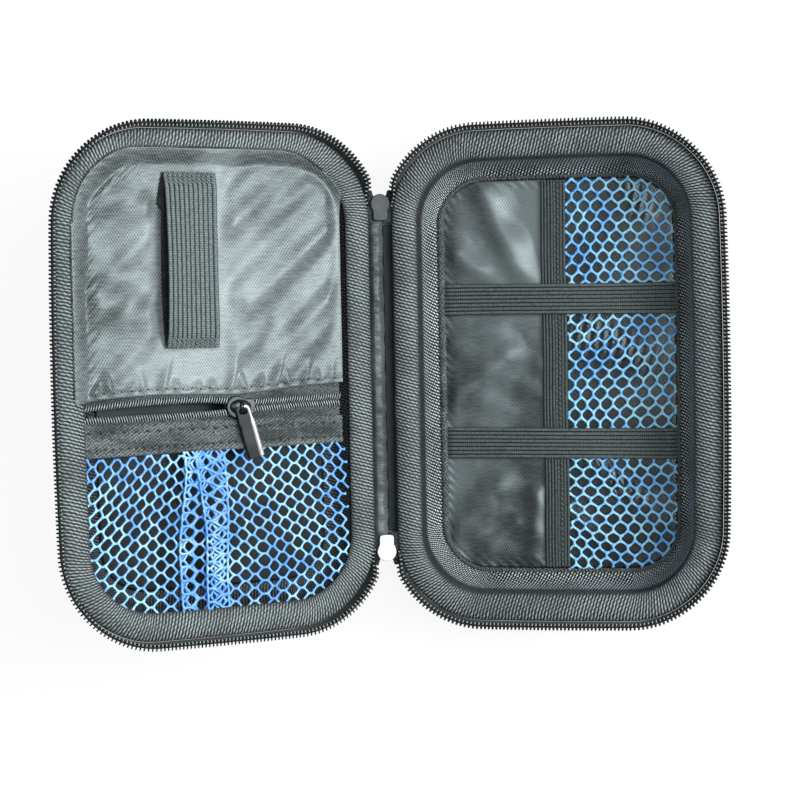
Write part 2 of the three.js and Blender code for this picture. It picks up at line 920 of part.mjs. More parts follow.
// Pull tab: bar in the bail at the origin, tab along -Y
function pullGeometry() {
  const half = pullWidth * halfShare;
  const neck = pullNeckWidth * halfShare;
  const top = pullBar * halfShare;
  const end = top - pullLength;
  const chamfer = half * halfShare;
  const outline = polygon([
    [-neck, top],
    [neck, top],
    [neck, top - pullHeadLength],
    [half, top - pullHeadLength - chamfer],
    [half, end + chamfer],
    [half - chamfer, end],
    [chamfer - half, end],
    [-half, end + chamfer],
    [-half, top - pullHeadLength - chamfer],
    [-neck, top - pullHeadLength],
  ]);
  const holeHalf = pullHoleWidth * halfShare;
  outline.holes.push(new THREE.Path([
    new THREE.Vector2(-holeHalf, -top),
    new THREE.Vector2(holeHalf, -top),
    new THREE.Vector2(holeHalf, -top - pullHoleLength),
    new THREE.Vector2(-holeHalf, -top - pullHoleLength),
  ]));
  const tab = slab(outline, pullThickness);
  tab.translate(0, 0, -pullThickness * halfShare);
  const pitTop = top - pullHeadLength - chamfer;
  const pit = block(
    -pullPitWidth * halfShare,
    pullPitWidth * halfShare,
    pitTop - pullPitLength,
    pitTop,
    pullThickness * halfShare * halfShare,
    pullThickness,
  );
  return cut(tab, pit);
}

// Main slider hangs below the spine line with its bail outside the case
function mainSlider(name, side) {
  const carrier = new THREE.Group();
  carrier.position.set(-spineWidth * halfShare, side * mainSliderY(), 0);
  carrier.rotation.set(halfTurn, 0, side > 0 ? halfTurn : 0);
  const geometry = sliderBody(
    sliderLength,
    sliderWidth,
    sliderTailWidth,
    sliderChannel,
    sliderPostWidth,
    sliderPostLength,
    quarterTurn,
  );
  carrier.add(named(`${name}_slider_body`, geometry, sliderMetal));
  const pull = named(`${name}_slider_pull`, pullGeometry(), sliderMetal);
  pull.position.set(0, 0, sliderAxisHeight(sliderChannel));
  pull.rotation.set(-quarterTurn, 0, 0);
  carrier.add(pull);
  return carrier;
}

function mainSliderY() {
  return spineLength * halfShare + sliderGap + sliderLength * halfShare;
}

// Spine strip, a shallow channel between the halves
function spineGeometry() {
  const half = spineLength * halfShare;
  const left = spineSideGap - spineWidth;
  return sheetSolid(4, 8, spineThickness, (u, v) => {
    const x = left + (spineWidth - 2 * spineSideGap) * u;
    const sag = spineSag * Math.sin(u * halfTurn) * (1 + halfShare * Math.sin(v * 3 * halfTurn));
    return [x, half * (2 * v - 1), -sag];
  });
}

// Satin panel of the shallow half, given in lid coordinates
function satinEdgeY(x) {
  const share = (x + rimWidth * halfShare) / rimWidth;
  return satinLeftEdgeY + (satinRightEdgeY - satinLeftEdgeY) * share;
}

function satinGeometry() {
  const leftX = satinInset - rimWidth * halfShare + sideBulge * halfShare;
  return sheetSolid(16, 14, satinThickness, (u, v) => {
    const x = leftX + (satinRightX - leftX) * (halfShare - halfShare * Math.cos(u * halfTurn));
    const topY = planReach(-x, satinInset);
    const bottomY = satinEdgeY(x);
    const y = bottomY + (topY - bottomY) * v;
    const fade = Math.sin(u * halfTurn) * Math.sin(v * halfTurn);
    const fold = Math.sin((y / topY) * 2 * halfTurn + (x / leftX) * halfTurn);
    const nearEdge = Math.max(1 - (y - bottomY) / satinPuckerReach, 0);
    const pucker = Math.sin((x / satinPuckerPitch) * 2 * halfTurn) * nearEdge * Math.sin(u * halfTurn);
    return [x, y, satinHeight + satinFold * fade * fold + satinPucker * pucker * v * 2];
  });
}

const satinPeak = satinHeight + satinFold + satinPucker;

function loopGeometry() {
  const section = ribbedSection(loopWidth, loopThickness, loopRib, loopRibCount);
  const path = archPath(loopBottomY, loopTopY, loopEndRun, loopRise, 4);
  const foot = satinPeak + seatGap + loopRise;
  return strapGeometry(section, path, (along, across, up) => (
    new THREE.Vector3(loopLeftX + across, along, up + foot)));
}

function tackGeometry(fromY, toY, slopeLift) {
  const foot = satinPeak + seatGap + loopThickness + seatGap;
  const length = toY - fromY;
  return sheetSolid(1, 2, tackHeight, (u, v) => [
    loopLeftX + loopWidth * u,
    fromY + length * v,
    foot + tackHeight + slopeLift(v) * loopRise,
  ]);
}

function loopPieces() {
  const rise = (v) => v * (1 - halfShare * halfShare) + halfShare * halfShare;
  return [
    named('lid_elastic_loop', loopGeometry(), elasticCloth),
    named('loop_bar_tack_top', tackGeometry(loopTopY - tackTopLength, loopTopY, (v) => rise(1 - v)), elasticCloth),
    named('loop_bar_tack_bottom', tackGeometry(loopBottomY, loopBottomY + tackBottomLength, rise), elasticCloth),
  ];
}

// Lines of the two chains of the pocket zip
function lineThrough(points, x) {
  let i = 0;
  while (i + 2 < points.length && x > points[i + 1][0]) i += 1;
  const [fromX, fromY] = points[i];
  const [toX, toY] = points[i + 1];
  const share = Math.min(Math.max((x - fromX) / (toX - fromX), 0), 1);
  return fromY + (toY - fromY) * share;
}

const pocketHalfStep = (pocketSlit + pocketCoilWidth) * halfShare;
const upperChain = [
  [pocketChainStartX, pocketUpperStartY],
  [pocketChainBendX, pocketUpperBendY],
  [pocketChainForkX, pocketUpperForkY],
  [pocketChainMeetX, pocketLineY + pocketHalfStep],
  [pocketChainEndX, pocketLineY + pocketHalfStep],
];
const lowerChain = [
  [pocketChainStartX, pocketLowerStartY],
  [pocketChainBendX, pocketLowerBendY],
  [pocketChainForkX, pocketLowerForkY],
  [pocketChainMeetX, pocketLineY - pocketHalfStep],
  [pocketChainEndX, pocketLineY - pocketHalfStep],
];

function pocketCoilGeometry(chain, side) {
  const count = 2 * Math.round((pocketChainEndX - pocketChainStartX) / pocketCoilPitch);
  const sections = [];
  for (let i = 0; i <= count; i += 1) {
    const x = pocketChainStartX + ((pocketChainEndX - pocketChainStartX) * i) / count;
    const y = lineThrough(chain, x);
    const reach = i % 2 ? pocketToothReach : 0;
    const back = y + side * pocketCoilWidth * halfShare;
    const front = y - side * (pocketCoilWidth * halfShare - pocketToothReach + reach);
    const flat = [
      [back, pocketTapeHeight],
      [front, pocketTapeHeight + pocketCoilHeight * halfShare],
      [y, pocketTapeHeight + pocketCoilHeight],
    ];
    sections.push({ flat, points: flat.map(([across, up]) => new THREE.Vector3(x, across, up)) });
  }
  return sweptSolid(sections);
}

function pocketTapeGeometry(chain, side, farEdge) {
  return sheetSolid(14, 1, pocketTapeThickness, (u, v) => {
    const x = pocketChainStartX + (pocketChainEndX - pocketChainStartX) * u;
    const near = lineThrough(chain, x) + side * (pocketCoilWidth * halfShare + pocketTapeGap);
    const y = near + (farEdge(x) - near) * v;
    return [x, y, pocketTapeHeight + pocketTapeThickness];
  });
}

function pocketZip() {
  const upperFar = (x) => satinEdgeY(x) - pocketTapeGap;
  const lowerFar = () => headerTopY + pocketTapeGap * halfShare;
  return [
    named('pocket_zip_tape_upper', pocketTapeGeometry(upperChain, 1, upperFar), liningCloth),
    named('pocket_zip_tape_lower', pocketTapeGeometry(lowerChain, -1, lowerFar), liningCloth),
    named('pocket_zip_coil_upper', pocketCoilGeometry(upperChain, 1), coilNylon),
    named('pocket_zip_coil_lower', pocketCoilGeometry(lowerChain, -1), coilNylon),
  ];
}

function pocketSlider() {
  const carrier = new THREE.Group();
  const channelFoot = pocketTapeHeight - (pocketChannel - pocketCoilHeight) * halfShare;
  carrier.position.set(pocketSliderX, pocketLineY, channelFoot - sliderPlate);
  const geometry = sliderBody(
    pocketSliderLength,
    pocketSliderWidth,
    pocketSliderTailWidth,
    pocketChannel,
    pocketBladeWidth,
    pocketBladeLength,
    0,
  );
  const body = named('pocket_slider_body', geometry, sliderMetal);
  body.rotation.set(0, 0, quarterTurn);
  carrier.add(body);
  const pull = named('pocket_slider_pull', pullGeometry(), sliderMetal);
  pull.position.set(0, 0, sliderAxisHeight(pocketChannel));
  pull.rotation.order = 'ZYX';
  pull.rotation.set(pocketPullDipShare * 2 * halfTurn, 0, pocketPullTurnShare * 2 * halfTurn);
  carrier.add(pull);
  return carrier;
}

// Webbing between the pocket zip and the net
function headerBottomY(x) {
  const share = (x + rimWidth * halfShare) / rimWidth;
  return headerLeftBottomY + (headerRightBottomY - headerLeftBottomY) * share;
}

function headerGeometry() {
  return sheetSolid(12, 3, headerThickness, (u, v) => {
    const x = pocketChainStartX + (pocketChainEndX - pocketChainStartX) * u;
    const y = headerTopY + (headerBottomY(x) - headerTopY) * v;
    const wave = headerWave * Math.sin(u * 3 * halfTurn) * v;
    return [x, y, pocketTapeHeight + headerThickness + wave];
  });
}

// Net of the shallow half with two gathered pleats
function lidNetBoundary() {
  const right = satinRightX;
  const points = [];
  for (const station of rimStations()) {
    const point = stationPoint(station, satinInset, 0);
    const x = -point.x;
    const y = -point.y;
    if (y < headerLeftBottomY - netStrand && x < right - netStrand) points.push([x, y]);
  }
  points.sort((a, b) => a[0] - b[0] || b[1] - a[1]);
  const leftX = points[0][0];
  return [
    [leftX, headerBottomY(leftX) - pocketTapeGap],
    ...points,
    [right, -planReach(-right, satinInset)],
    [right, headerBottomY(right) - pocketTapeGap],
  ];
}

function pleat(x, y, middle) {
  const away = Math.min(Math.abs(x - middle) / pleatHalfWidth, 1);
  const down = Math.min(Math.max((headerLeftBottomY - y) / netCellX, 0), 1);
  return pleatLift * (halfShare + halfShare * Math.cos(away * halfTurn)) * down;
}

function lidNetGeometry() {
  const inside = (x, y) => (
    y < headerBottomY(x) - pocketTapeGap - netMargin
    && x < satinRightX - netMargin
    && x > satinInset - rimWidth * halfShare + netMargin + sideBulge
    && -y < planReach(-x, satinInset + netMargin));
  const lift = (x, y) => (
    lidNetHeight + pleat(x, y, pleatOneX) + pleat(x, y, pleatTwoX));
  return netGeometry(lidNetBoundary(), inside, lift, true);
}

// Assembly in the opened pose
const group = new THREE.Group();
group.name = 'glucose_meter_case';
group.add(...halfPieces('base', baseTray));
group.add(...baseFittings());

const spine = new THREE.Group();
spine.position.set(hingeX, 0, baseDepth);
spine.rotation.set(0, spineTiltTurnShare * 2 * halfTurn, 0);
spine.add(named('hinge_spine', spineGeometry(), darkSatin));
spine.add(mainSlider('rear', 1), mainSlider('front', -1));
group.add(spine);

const lid = new THREE.Group();
lid.position.set(-spineWidth, 0, 0);
lid.rotation.set(0, lidTiltTurnShare * 2 * halfTurn, 0);
spine.add(lid);

const lidFrame = new THREE.Group();
lidFrame.position.set(hingeX, 0, -lidDepth);
lid.add(lidFrame);

const turned = new THREE.Group();
turned.rotation.set(0, 0, halfTurn);
turned.add(...halfPieces('lid', lidTray));
lidFrame.add(turned);
lidFrame.add(named('lid_satin_panel', satinGeometry(), satinCloth));
lidFrame.add(...loopPieces());
lidFrame.add(...pocketZip());
lidFrame.add(pocketSlider());
lidFrame.add(named('lid_net_header', headerGeometry(), liningCloth));
lidFrame.add(named('lid_mesh_net', lidNetGeometry(), netCloth));

export default group;
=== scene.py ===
import math

import bpy
import numpy as np
from mathutils import Matrix, Vector


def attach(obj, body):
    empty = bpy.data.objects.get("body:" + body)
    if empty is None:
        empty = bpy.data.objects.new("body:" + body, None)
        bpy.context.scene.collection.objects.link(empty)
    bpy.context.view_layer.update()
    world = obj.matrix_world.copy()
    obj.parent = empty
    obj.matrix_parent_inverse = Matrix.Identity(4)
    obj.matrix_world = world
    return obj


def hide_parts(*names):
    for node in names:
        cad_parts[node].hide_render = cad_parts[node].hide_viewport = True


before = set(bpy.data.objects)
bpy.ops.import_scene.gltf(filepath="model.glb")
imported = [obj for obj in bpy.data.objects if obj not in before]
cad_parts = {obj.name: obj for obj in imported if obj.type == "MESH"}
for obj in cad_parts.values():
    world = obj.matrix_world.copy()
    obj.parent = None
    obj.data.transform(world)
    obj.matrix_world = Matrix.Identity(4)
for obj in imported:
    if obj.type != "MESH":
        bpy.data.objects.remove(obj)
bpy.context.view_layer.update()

chance = np.random.default_rng(11)
TURN = 2 * math.pi

# Plan outline shared by the two halves, in millimetres
HINGE_X = -66
FREE_X = 64
END_Y = 98
CORNER = 35
SIDE_BULGE = 2
END_BULGE = 1
HINGE_CORE = HINGE_X + CORNER
FREE_CORE = FREE_X - CORNER
CORE_Y = END_Y - CORNER
ZIP_START_SHARE = 0.26

BASE_DEPTH = 32
LID_DEPTH = 16
SPINE_WIDTH = 9
SPINE_TILT = 18.5
LID_TILT = 18.5


def moved(*place):
    return Matrix.Translation(place)


def turned(degrees, axis):
    return Matrix.Rotation(math.radians(degrees), 4, axis)


SPINE = moved(HINGE_X, 0, BASE_DEPTH) @ turned(SPINE_TILT, "Y")
LID = SPINE @ moved(-SPINE_WIDTH, 0, 0) @ turned(LID_TILT, "Y") @ moved(HINGE_X, 0, -LID_DEPTH)
PLACES = {"base": Matrix.Identity(4), "spine": SPINE, "lid": LID}

# Rim path: distance along it, corner centre and direction at each knot
ARC = CORNER * math.pi / 2
END_RUN = FREE_CORE - HINGE_CORE
SIDE_RUN = 2 * CORE_Y
KNOTS = np.cumsum([0, ARC, END_RUN, ARC, SIDE_RUN, ARC, END_RUN, ARC, SIDE_RUN])
KNOT_X = [HINGE_CORE] * 2 + [FREE_CORE] * 4 + [HINGE_CORE] * 3
KNOT_Y = [CORE_Y] * 4 + [-CORE_Y] * 4 + [CORE_Y]
KNOT_ANGLE = np.array([2, 1, 1, 0, 0, -1, -1, -2, -2]) * math.pi / 2
RIM_LENGTH = float(KNOTS[-1])
ZIP_START = ARC * ZIP_START_SHARE
ZIP_END = float(KNOTS[-2]) - ZIP_START

# Rows of the coarse weave: turns per millimetre along the rim and across it
WEAVE_ROWS = (round(RIM_LENGTH / 1.33) / RIM_LENGTH, 0.22)
WEAVE_BREAKS = (0.34, 0.62)
TWILL_PITCH = 1.1

# Distance between the ribs of the elastics
BAND_RIB = 1.625
CENTRE_RIB = 1.3
LOOP_RIB = 2.0


def spread(count):
    """Even shares from 0 to 1."""
    return np.linspace(0, 1, count)


def round_rim(count):
    """Places spread evenly over the whole rim."""
    return np.linspace(0, RIM_LENGTH, count, endpoint=False)


def uneven_rim(along, low, high, count):
    """A random measure that changes evenly from place to place round the rim."""
    return np.interp(along, np.linspace(0, RIM_LENGTH, count), chance.uniform(low, high, count))


def arch(share):
    """Rises from 0 to 1 and falls back to 0 over a share."""
    return np.sin(share * math.pi)


def stacked(*parts):
    """Points or cloth coordinates, from their parts."""
    return np.stack(np.broadcast_arrays(*parts), -1)


def rim_points(along, inset, height):
    """Points inside the rim by an inset, at distances along the rim path."""
    along, inset, height = np.broadcast_arrays(along, inset, height)
    wrapped = np.mod(along, RIM_LENGTH)
    angle = np.interp(wrapped, KNOTS, KNOT_ANGLE)
    x = np.interp(wrapped, KNOTS, KNOT_X) + (CORNER - inset) * np.cos(angle)
    y = np.interp(wrapped, KNOTS, KNOT_Y) + (CORNER - inset) * np.sin(angle)
    lengthways = np.maximum(1 - (y / END_Y) ** 2, 0)
    across = np.maximum(1 - (x / HINGE_X) ** 2, 0)
    bulged_x = np.where(x > 0, x + SIDE_BULGE * lengthways * x / FREE_X, x)
    bulged_y = y + END_BULGE * across * y / END_Y
    return np.stack([bulged_x, bulged_y, height], -1)


def past_core(x):
    """How far x lies beyond the centres of the corners."""
    return np.maximum(np.maximum(HINGE_CORE - x, x - FREE_CORE), 0)


def plan_reach(x, inset):
    """Half length of the plan at x, inside the rim by an inset."""
    radius = CORNER - inset
    over = past_core(x)
    return CORE_Y + np.sqrt(np.maximum(radius**2 - np.minimum(over, radius) ** 2, 0))


def rounded(points, rounds, closed):
    """A polyline with its corners cut, to a smooth line."""
    line = np.asarray(points, float)
    for _ in range(rounds):
        after = np.roll(line, -1, 0) if closed else line[1:]
        before = line if closed else line[:-1]
        pairs = np.stack([0.75 * before + 0.25 * after, 0.25 * before + 0.75 * after], 1)
        cuts = pairs.reshape(-1, line.shape[1])
        line = cuts if closed else np.vstack([line[:1], cuts, line[-1:]])
    return line


def run_length(line, closed=False):
    """Distance along a polyline at each of its points, and at its start again where it is closed."""
    line = np.vstack([line, line[:1]]) if closed else line
    return np.concatenate([[0], np.cumsum(np.linalg.norm(np.diff(line, axis=0), axis=1))])


def smooth(value, low, high):
    """Rises smoothly from 0 to 1 on the way from low to high."""
    share = np.clip((value - low) / (high - low), 0, 1)
    return share * share * (3 - 2 * share)


def sway(value, length, phase=0.0):
    """A sine wave of a given length."""
    return np.sin(value * TURN / length + phase)


def bell(value, middle, width):
    """A rounded rise about a middle."""
    return np.exp(-(((value - middle) / width) ** 2))


def ribbed(across, pitch):
    """Even round ribs with sharp grooves between them."""
    return np.abs(np.sin(across * math.pi / pitch))


def ripple(x, y, length, turn, phase=0.0):
    """A wave over the plan, whose crests lie at an angle to X."""
    return sway(-x * math.sin(turn) + y * math.cos(turn), length, phase)


def ridge(x, y, start, end, width):
    """A smooth fold along a line from start to end."""
    start, end = np.asarray(start, float), np.asarray(end, float)
    step = end - start
    share = np.clip(((x - start[0]) * step[0] + (y - start[1]) * step[1]) / (step @ step), 0, 1)
    away = np.hypot(x - start[0] - share * step[0], y - start[1] - share * step[1])
    return bell(away, 0, width)


def ridges(x, y, table):
    """The sum of folds, each given by its height, start, end and width."""
    return sum(height * ridge(x, y, start, end, width) for height, start, end, width in table)


class Form:
    """Points, faces and cloth coordinates of one piece, in millimetres."""

    def __init__(self):
        self.points, self.faces, self.maps, self.count = [], [], [], 0

    def add(self, points, faces, marks):
        self.points.append(points.reshape(-1, 3))
        self.faces.append(faces + self.count)
        self.maps.append(marks)
        self.count += self.points[-1].shape[0]
        return self

    def grid(self, points, marks, wrap_rows=False, wrap_columns=False):
        """A net of four-sided faces; marks has one more row or column where the net wraps."""
        rows, columns = points.shape[:2]
        at = np.arange(rows * columns).reshape(rows, columns)
        marked = np.arange(marks.shape[0] * marks.shape[1]).reshape(marks.shape[:2])
        if wrap_rows:
            at = np.vstack([at, at[:1]])
        if wrap_columns:
            at = np.hstack([at, at[:, :1]])
        return self.add(points, four_sided(at), marks.reshape(-1, 2)[four_sided(marked)])

    def cap(self, ring, flip=False):
        """A fan that closes a ring of points, marked by its plan."""
        size = len(ring)
        here = np.arange(size)
        after = (here + 1) % size
        hub = np.full(size, size)
        faces = np.stack([here, after, hub] if flip else [after, here, hub], -1)
        points = np.vstack([ring, ring.mean(0)])
        return self.add(points, faces, points[:, :2][faces])

    def tubes(self, paths, radius, sides=6, closed=False, flatten=1.0, up=(0, 0, 1), sizes=(1, 1)):
        """Round strands along many paths of equal length; radius may vary along them."""
        paths = np.asarray(paths, float)
        strands, steps = paths.shape[:2]
        if closed:
            tangent = np.roll(paths, -1, 1) - np.roll(paths, 1, 1)
        else:
            tangent = np.gradient(paths, axis=1)
        tangent /= np.linalg.norm(tangent, axis=2, keepdims=True) + 1e-9
        side = np.cross(tangent, np.broadcast_to(np.asarray(up, float), tangent.shape))
        side /= np.linalg.norm(side, axis=2, keepdims=True) + 1e-9
        top = np.cross(side, tangent)
        angle = np.arange(sides) * TURN / sides
        reach = np.broadcast_to(np.asarray(radius, float), (strands, steps))[..., None, None]
        ring = side[:, :, None] * np.cos(angle)[:, None] + top[:, :, None] * np.sin(angle)[:, None] * flatten
        points = (paths[:, :, None] + reach * ring).reshape(-1, 3)
        rows = steps + 1 if closed else steps
        row, column = np.arange(rows)[:, None], np.arange(sides + 1)
        faces = four_sided((row % steps) * sides + column % sides)
        marks = stacked(row / max(steps - 1, 1) * sizes[0], column / sides * sizes[1])
        marks = marks.reshape(-1, 2)[four_sided(row * (sides + 1) + column)]
        shift = (np.arange(strands) * steps * sides)[:, None, None]
        every = (faces[None] + shift).reshape(-1, 4)
        offset = chance.uniform(0, 1, (strands, 1, 1, 1)) * [8.0, 0.0]
        return self.add(points, every, (marks[None] + offset).reshape(-1, 4, 2))


def draped(x, y, z):
    """Cloth over a net of places, marked by its plan."""
    return Form().grid(stacked(x, y, z), stacked(x, y))


def four_sided(at):
    """Faces between the rows and columns of a net of point numbers."""
    return np.stack([at[:-1, :-1], at[1:, :-1], at[1:, 1:], at[:-1, 1:]], -1).reshape(-1, 4)


def linked(name, data):
    """A new object in the scene."""
    made = bpy.data.objects.new(name, data)
    bpy.context.scene.collection.objects.link(made)
    return made


def piece(name, form, body, material, nodes=(), thickness=0.0, place=None):
    """One object of the scene, made from a form and riding on a body."""
    matrix = np.array(PLACES[body] if place is None else place)
    world = (np.vstack(form.points) @ matrix[:3, :3].T + matrix[:3, 3]) / 1000
    sizes = np.concatenate([np.full(len(f), f.shape[1]) for f in form.faces])
    mesh = bpy.data.meshes.new(name)
    mesh.vertices.add(len(world))
    mesh.vertices.foreach_set("co", world.ravel())
    corners = np.concatenate([f.ravel() for f in form.faces])
    mesh.loops.add(len(corners))
    mesh.loops.foreach_set("vertex_index", corners.astype(np.int32))
    mesh.polygons.add(len(sizes))
    mesh.polygons.foreach_set("loop_start", (np.cumsum(sizes) - sizes).astype(np.int32))
    mesh.polygons.foreach_set("use_smooth", np.ones(len(sizes), bool))
    marks = mesh.uv_layers.new(name="Cloth")
    marks.uv.foreach_set("vector", np.concatenate([m.reshape(-1, 2) for m in form.maps]).ravel())
    mesh.update(calc_edges=True)
    mesh.validate()
    mesh.materials.append(FINISHES[material])
    made = linked(name, mesh)
    if thickness:
        shell = made.modifiers.new("Thickness", "SOLIDIFY")
        shell.thickness = thickness / 1000
        shell.offset = -1
    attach(made, body)
    if nodes:
        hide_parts(*nodes)


class Nodes:
    """A tree of nodes and the ways to join them."""

    def __init__(self, tree):
        self.tree = tree

    def node(self, kind, values=None, **settings):
        """A new node, with the values of its inputs by their names or numbers."""
        made = self.tree.nodes.new(kind)
        for key, value in settings.items():
            setattr(made, key, value)
        for socket, value in (values or {}).items():
            self.feed(made.inputs[socket], value)
        return made

    def feed(self, socket, value):
        if isinstance(value, bpy.types.NodeSocket):
            self.tree.links.new(value, socket)
        else:
            socket.default_value = value

    def math(self, operation, *values):
        return self.node("ShaderNodeMath", dict(enumerate(values)), operation=operation).outputs[0]

    def times(self, first, second):
        return self.math("MULTIPLY", first, second)

    def sum(self, value, factor, extra):
        return self.math("MULTIPLY_ADD", value, factor, extra)


FINISHES = {}


class Finish(Nodes):
    """A material whose nodes lead to one Principled shader."""

    def __init__(self, name, roughness, specular=0.5, metallic=0.0, sheen=0.0, coat=0.0):
        material = bpy.data.materials.new(name)
        material.use_nodes = True
        FINISHES[name] = material
        super().__init__(material.node_tree)
        self.surface = self.tree.nodes["Principled BSDF"]
        settings = {
            "Roughness": roughness,
            "Specular IOR Level": specular,
            "Metallic": metallic,
            "Sheen Weight": sheen,
            "Coat Weight": coat,
            "Coat Roughness": 0.2,
            "Specular Tint": tone(0.8, 0.97, 1),
        }
        for socket, value in settings.items():
            self.feed(self.surface.inputs[socket], value)

    def cloth(self):
        """The two cloth coordinates, in millimetres."""
        marks = self.node("ShaderNodeUVMap", uv_map="Cloth")
        return self.node("ShaderNodeSeparateXYZ", {0: marks.outputs[0]}).outputs[:2]

    def place(self):
        return self.node("ShaderNodeTexCoord").outputs["Object"]

    def noise(self, scale, detail=2.0, where=None, stretch=None):
        where = self.place() if where is None else where
        if stretch:
            where = self.mapped(where, Scale=stretch)
        values = {"Vector": where, "Scale": scale, "Detail": detail}
        return self.node("ShaderNodeTexNoise", values).outputs["Fac"]

    def mapped(self, where, **settings):
        return self.node("ShaderNodeMapping", {"Vector": where, **settings}).outputs[0]

    def mottle(self, scale, detail, low, high, out_low=0.0, out_high=1.0, stretch=None):
        """Noise drawn out to shares between two levels."""
        return self.between(self.noise(scale, detail, stretch=stretch), low, high, out_low, out_high)

    def between(self, value, low, high, out_low=0.0, out_high=1.0):
        levels = {"From Min": low, "From Max": high, "To Min": out_low, "To Max": out_high}
        made = self.node("ShaderNodeMapRange", {"Value": value, **levels}, interpolation_type="SMOOTHSTEP")
        return made.outputs["Result"]

    def wave(self, value, pitch, phase=0.0):
        return self.math("SINE", self.sum(value, TURN / pitch, phase))

    def rows(self, along, across, turns, phase=0.0):
        """A wave over the cloth, by its turns per millimetre along and across."""
        leaning = self.sum(across, TURN * turns[1], phase)
        return self.math("SINE", self.sum(along, TURN * turns[0], leaning))

    def painted(self, share, first, second):
        made = self.node("ShaderNodeMix", {0: share, 6: first, 7: second}, data_type="RGBA")
        self.feed(self.surface.inputs["Base Color"], made.outputs[2])

    def rough(self, value):
        self.feed(self.surface.inputs["Roughness"], value)

    def bump(self, height, distance):
        made = self.node("ShaderNodeBump", {"Strength": 1.0, "Distance": distance, "Height": height})
        self.feed(self.surface.inputs["Normal"], made.outputs[0])


def tone(red, green, blue):
    return (red, green, blue, 1)


def grey(value, lack=0.13, extra=0.03):
    """A near grey short of red, as a linear colour."""
    return tone(value * (1 - lack), value, value * (1 + extra))


def woven(name, dark, light, rows, breaks, cover=0.1, broken=0.45, painted_shades=()):
    """Coarse cloth: slanted rows of bright yarn floats, broken by a second set, on a dark ground; the last
    argument paints shade in bands across the cloth.
    """
    made = Finish(name, 0.6, 0.45, sheen=0.1)
    along, across = made.cloth()
    waver = made.mottle(420, 2, 0.2, 0.8, -0.7, 0.7)
    first = made.rows(along, across, rows, waver)
    second = made.rows(along, across, breaks, waver)
    height = made.sum(second, broken, first)
    floats = made.between(height, cover, cover + 0.9)
    patch = made.mottle(60, 3, 0.3, 0.7, 0.7, 1.2)
    fibre = made.mottle(1500, 2, 0.3, 0.7, 0.65, 1.3)
    share = made.times(floats, made.times(patch, fibre))
    # painted shade: each step darkens a band across the cloth
    for shade_step in painted_shades:
        share = made.times(share, made.between(across, *shade_step))
    made.painted(share, grey(dark), grey(light))
    made.bump(height, 0.00006)


def twill(name, dark, light):
    """Narrow woven tape: a fine slanted rib, uneven and a little hairy."""
    made = Finish(name, 0.7, 0.4, sheen=0.15)
    along, across = made.cloth()
    waver = made.mottle(260, 3, 0.25, 0.75, -1.4, 1.4)
    ribs = made.rows(along, across, (-0.55 / TWILL_PITCH, 0.85 / TWILL_PITCH), waver)
    cross = made.rows(along, across, (0.9 / TWILL_PITCH, 0.7 / TWILL_PITCH), waver)
    height = made.sum(made.math("ADD", cross, ribs), 0.45, 0.2)
    fibre = made.mottle(1100, 3, 0.3, 0.7, 0.35, 1.5)
    patch = made.mottle(170, 4, 0.32, 0.68, 0.35, 1.5, stretch=(0.3, 1, 0.3))
    share = made.times(made.between(height, -0.9, 1.3), made.times(fibre, patch))
    made.painted(share, grey(dark), grey(light))
    made.bump(height, 0.00004)


def satin(name, deep, bright, roughness, contrast=0.3, gloss=0.5, patches=(0.24, 0.72)):
    """Thin lining cloth: a fine dotted weave with a soft shine, slubs, and paler and darker slanting patches
    of painted sheen and fold shading.
    """
    made = Finish(name, roughness, gloss, sheen=0.1)
    along, across = made.cloth()
    waver = made.mottle(200, 2, 0.3, 0.7, -0.8, 0.8)
    first = made.rows(along, across, (0.87, 0.58), waver)
    second = made.rows(along, across, (0.87, -0.58), waver)
    weave = made.math("ADD", first, second)
    # painted sheen and fold shading: broad slanting patches
    slanted = made.mapped(made.place(), Rotation=(0, 0, -0.75), Scale=(1, 0.4, 1))
    broad = made.between(made.noise(34, 3, slanted), 0.34, 0.66, *patches)
    slub = made.mottle(1700, 3, 0.36, 0.64, -0.13, 0.13, stretch=(0.14, 1, 0.14))
    fine = made.sum(weave, contrast * 0.5, slub)
    made.painted(made.math("ADD", broad, fine), deep, bright)
    made.rough(made.mottle(60, 2, 0.3, 0.7, roughness - 0.03, roughness + 0.06))
    made.bump(weave, 0.000012)


def elastic(name, dark, light, pitch):
    """Ribbed elastic: rows of tiny chevrons between the grooves."""
    made = Finish(name, 0.65, 0.4, sheen=0.12)
    along, across = made.cloth()
    rib = made.math("ABSOLUTE", made.rows(along, across, (0, 0.5 / pitch)))
    groove = made.between(rib, 0.2, 0.7)
    slanted = made.sum(rib, 0.5, along)
    beads = made.between(made.wave(slanted, 0.9), -0.7, 0.8, 0.45, 1.0)
    fibre = made.mottle(1500, 3, 0.3, 0.7, 0.5, 1.35)
    share = made.times(made.times(groove, beads), fibre)
    made.painted(share, grey(dark, 0.2), grey(light, 0.2, 0))
    made.bump(made.times(groove, beads), 0.00008)


def nylon(name, dark, light):
    """Smooth filament of the coils, with a hard shine."""
    made = Finish(name, 0.4, 0.25)
    scuff = made.mottle(900, 2, 0.4, 0.65)
    made.painted(scuff, grey(dark), grey(light))
    made.rough(made.mottle(900, 2, 0.3, 0.7, 0.35, 0.5))


def net_yarn(name, deep, bright):
    """Twisted blue yarn, with a painted highlight along its upper side."""
    made = Finish(name, 0.36, 0.6, sheen=0.1)
    along, around = made.cloth()
    # painted highlight: paler along the upper side of each strand
    top = made.between(made.math("SINE", made.times(around, TURN)), 0.1, 1.0)
    twist = made.wave(made.sum(around, 2.0, made.times(along, 3.0)), 1.0)
    broad = made.mottle(42, 2, 0.38, 0.62, 0.4, 1.0)
    local = made.mottle(330, 2, 0.34, 0.66, 0.55, 1.3)
    share = made.times(made.sum(twist, 0.16, top), made.times(broad, local))
    made.painted(share, deep, bright)
    made.bump(twist, 0.00003)


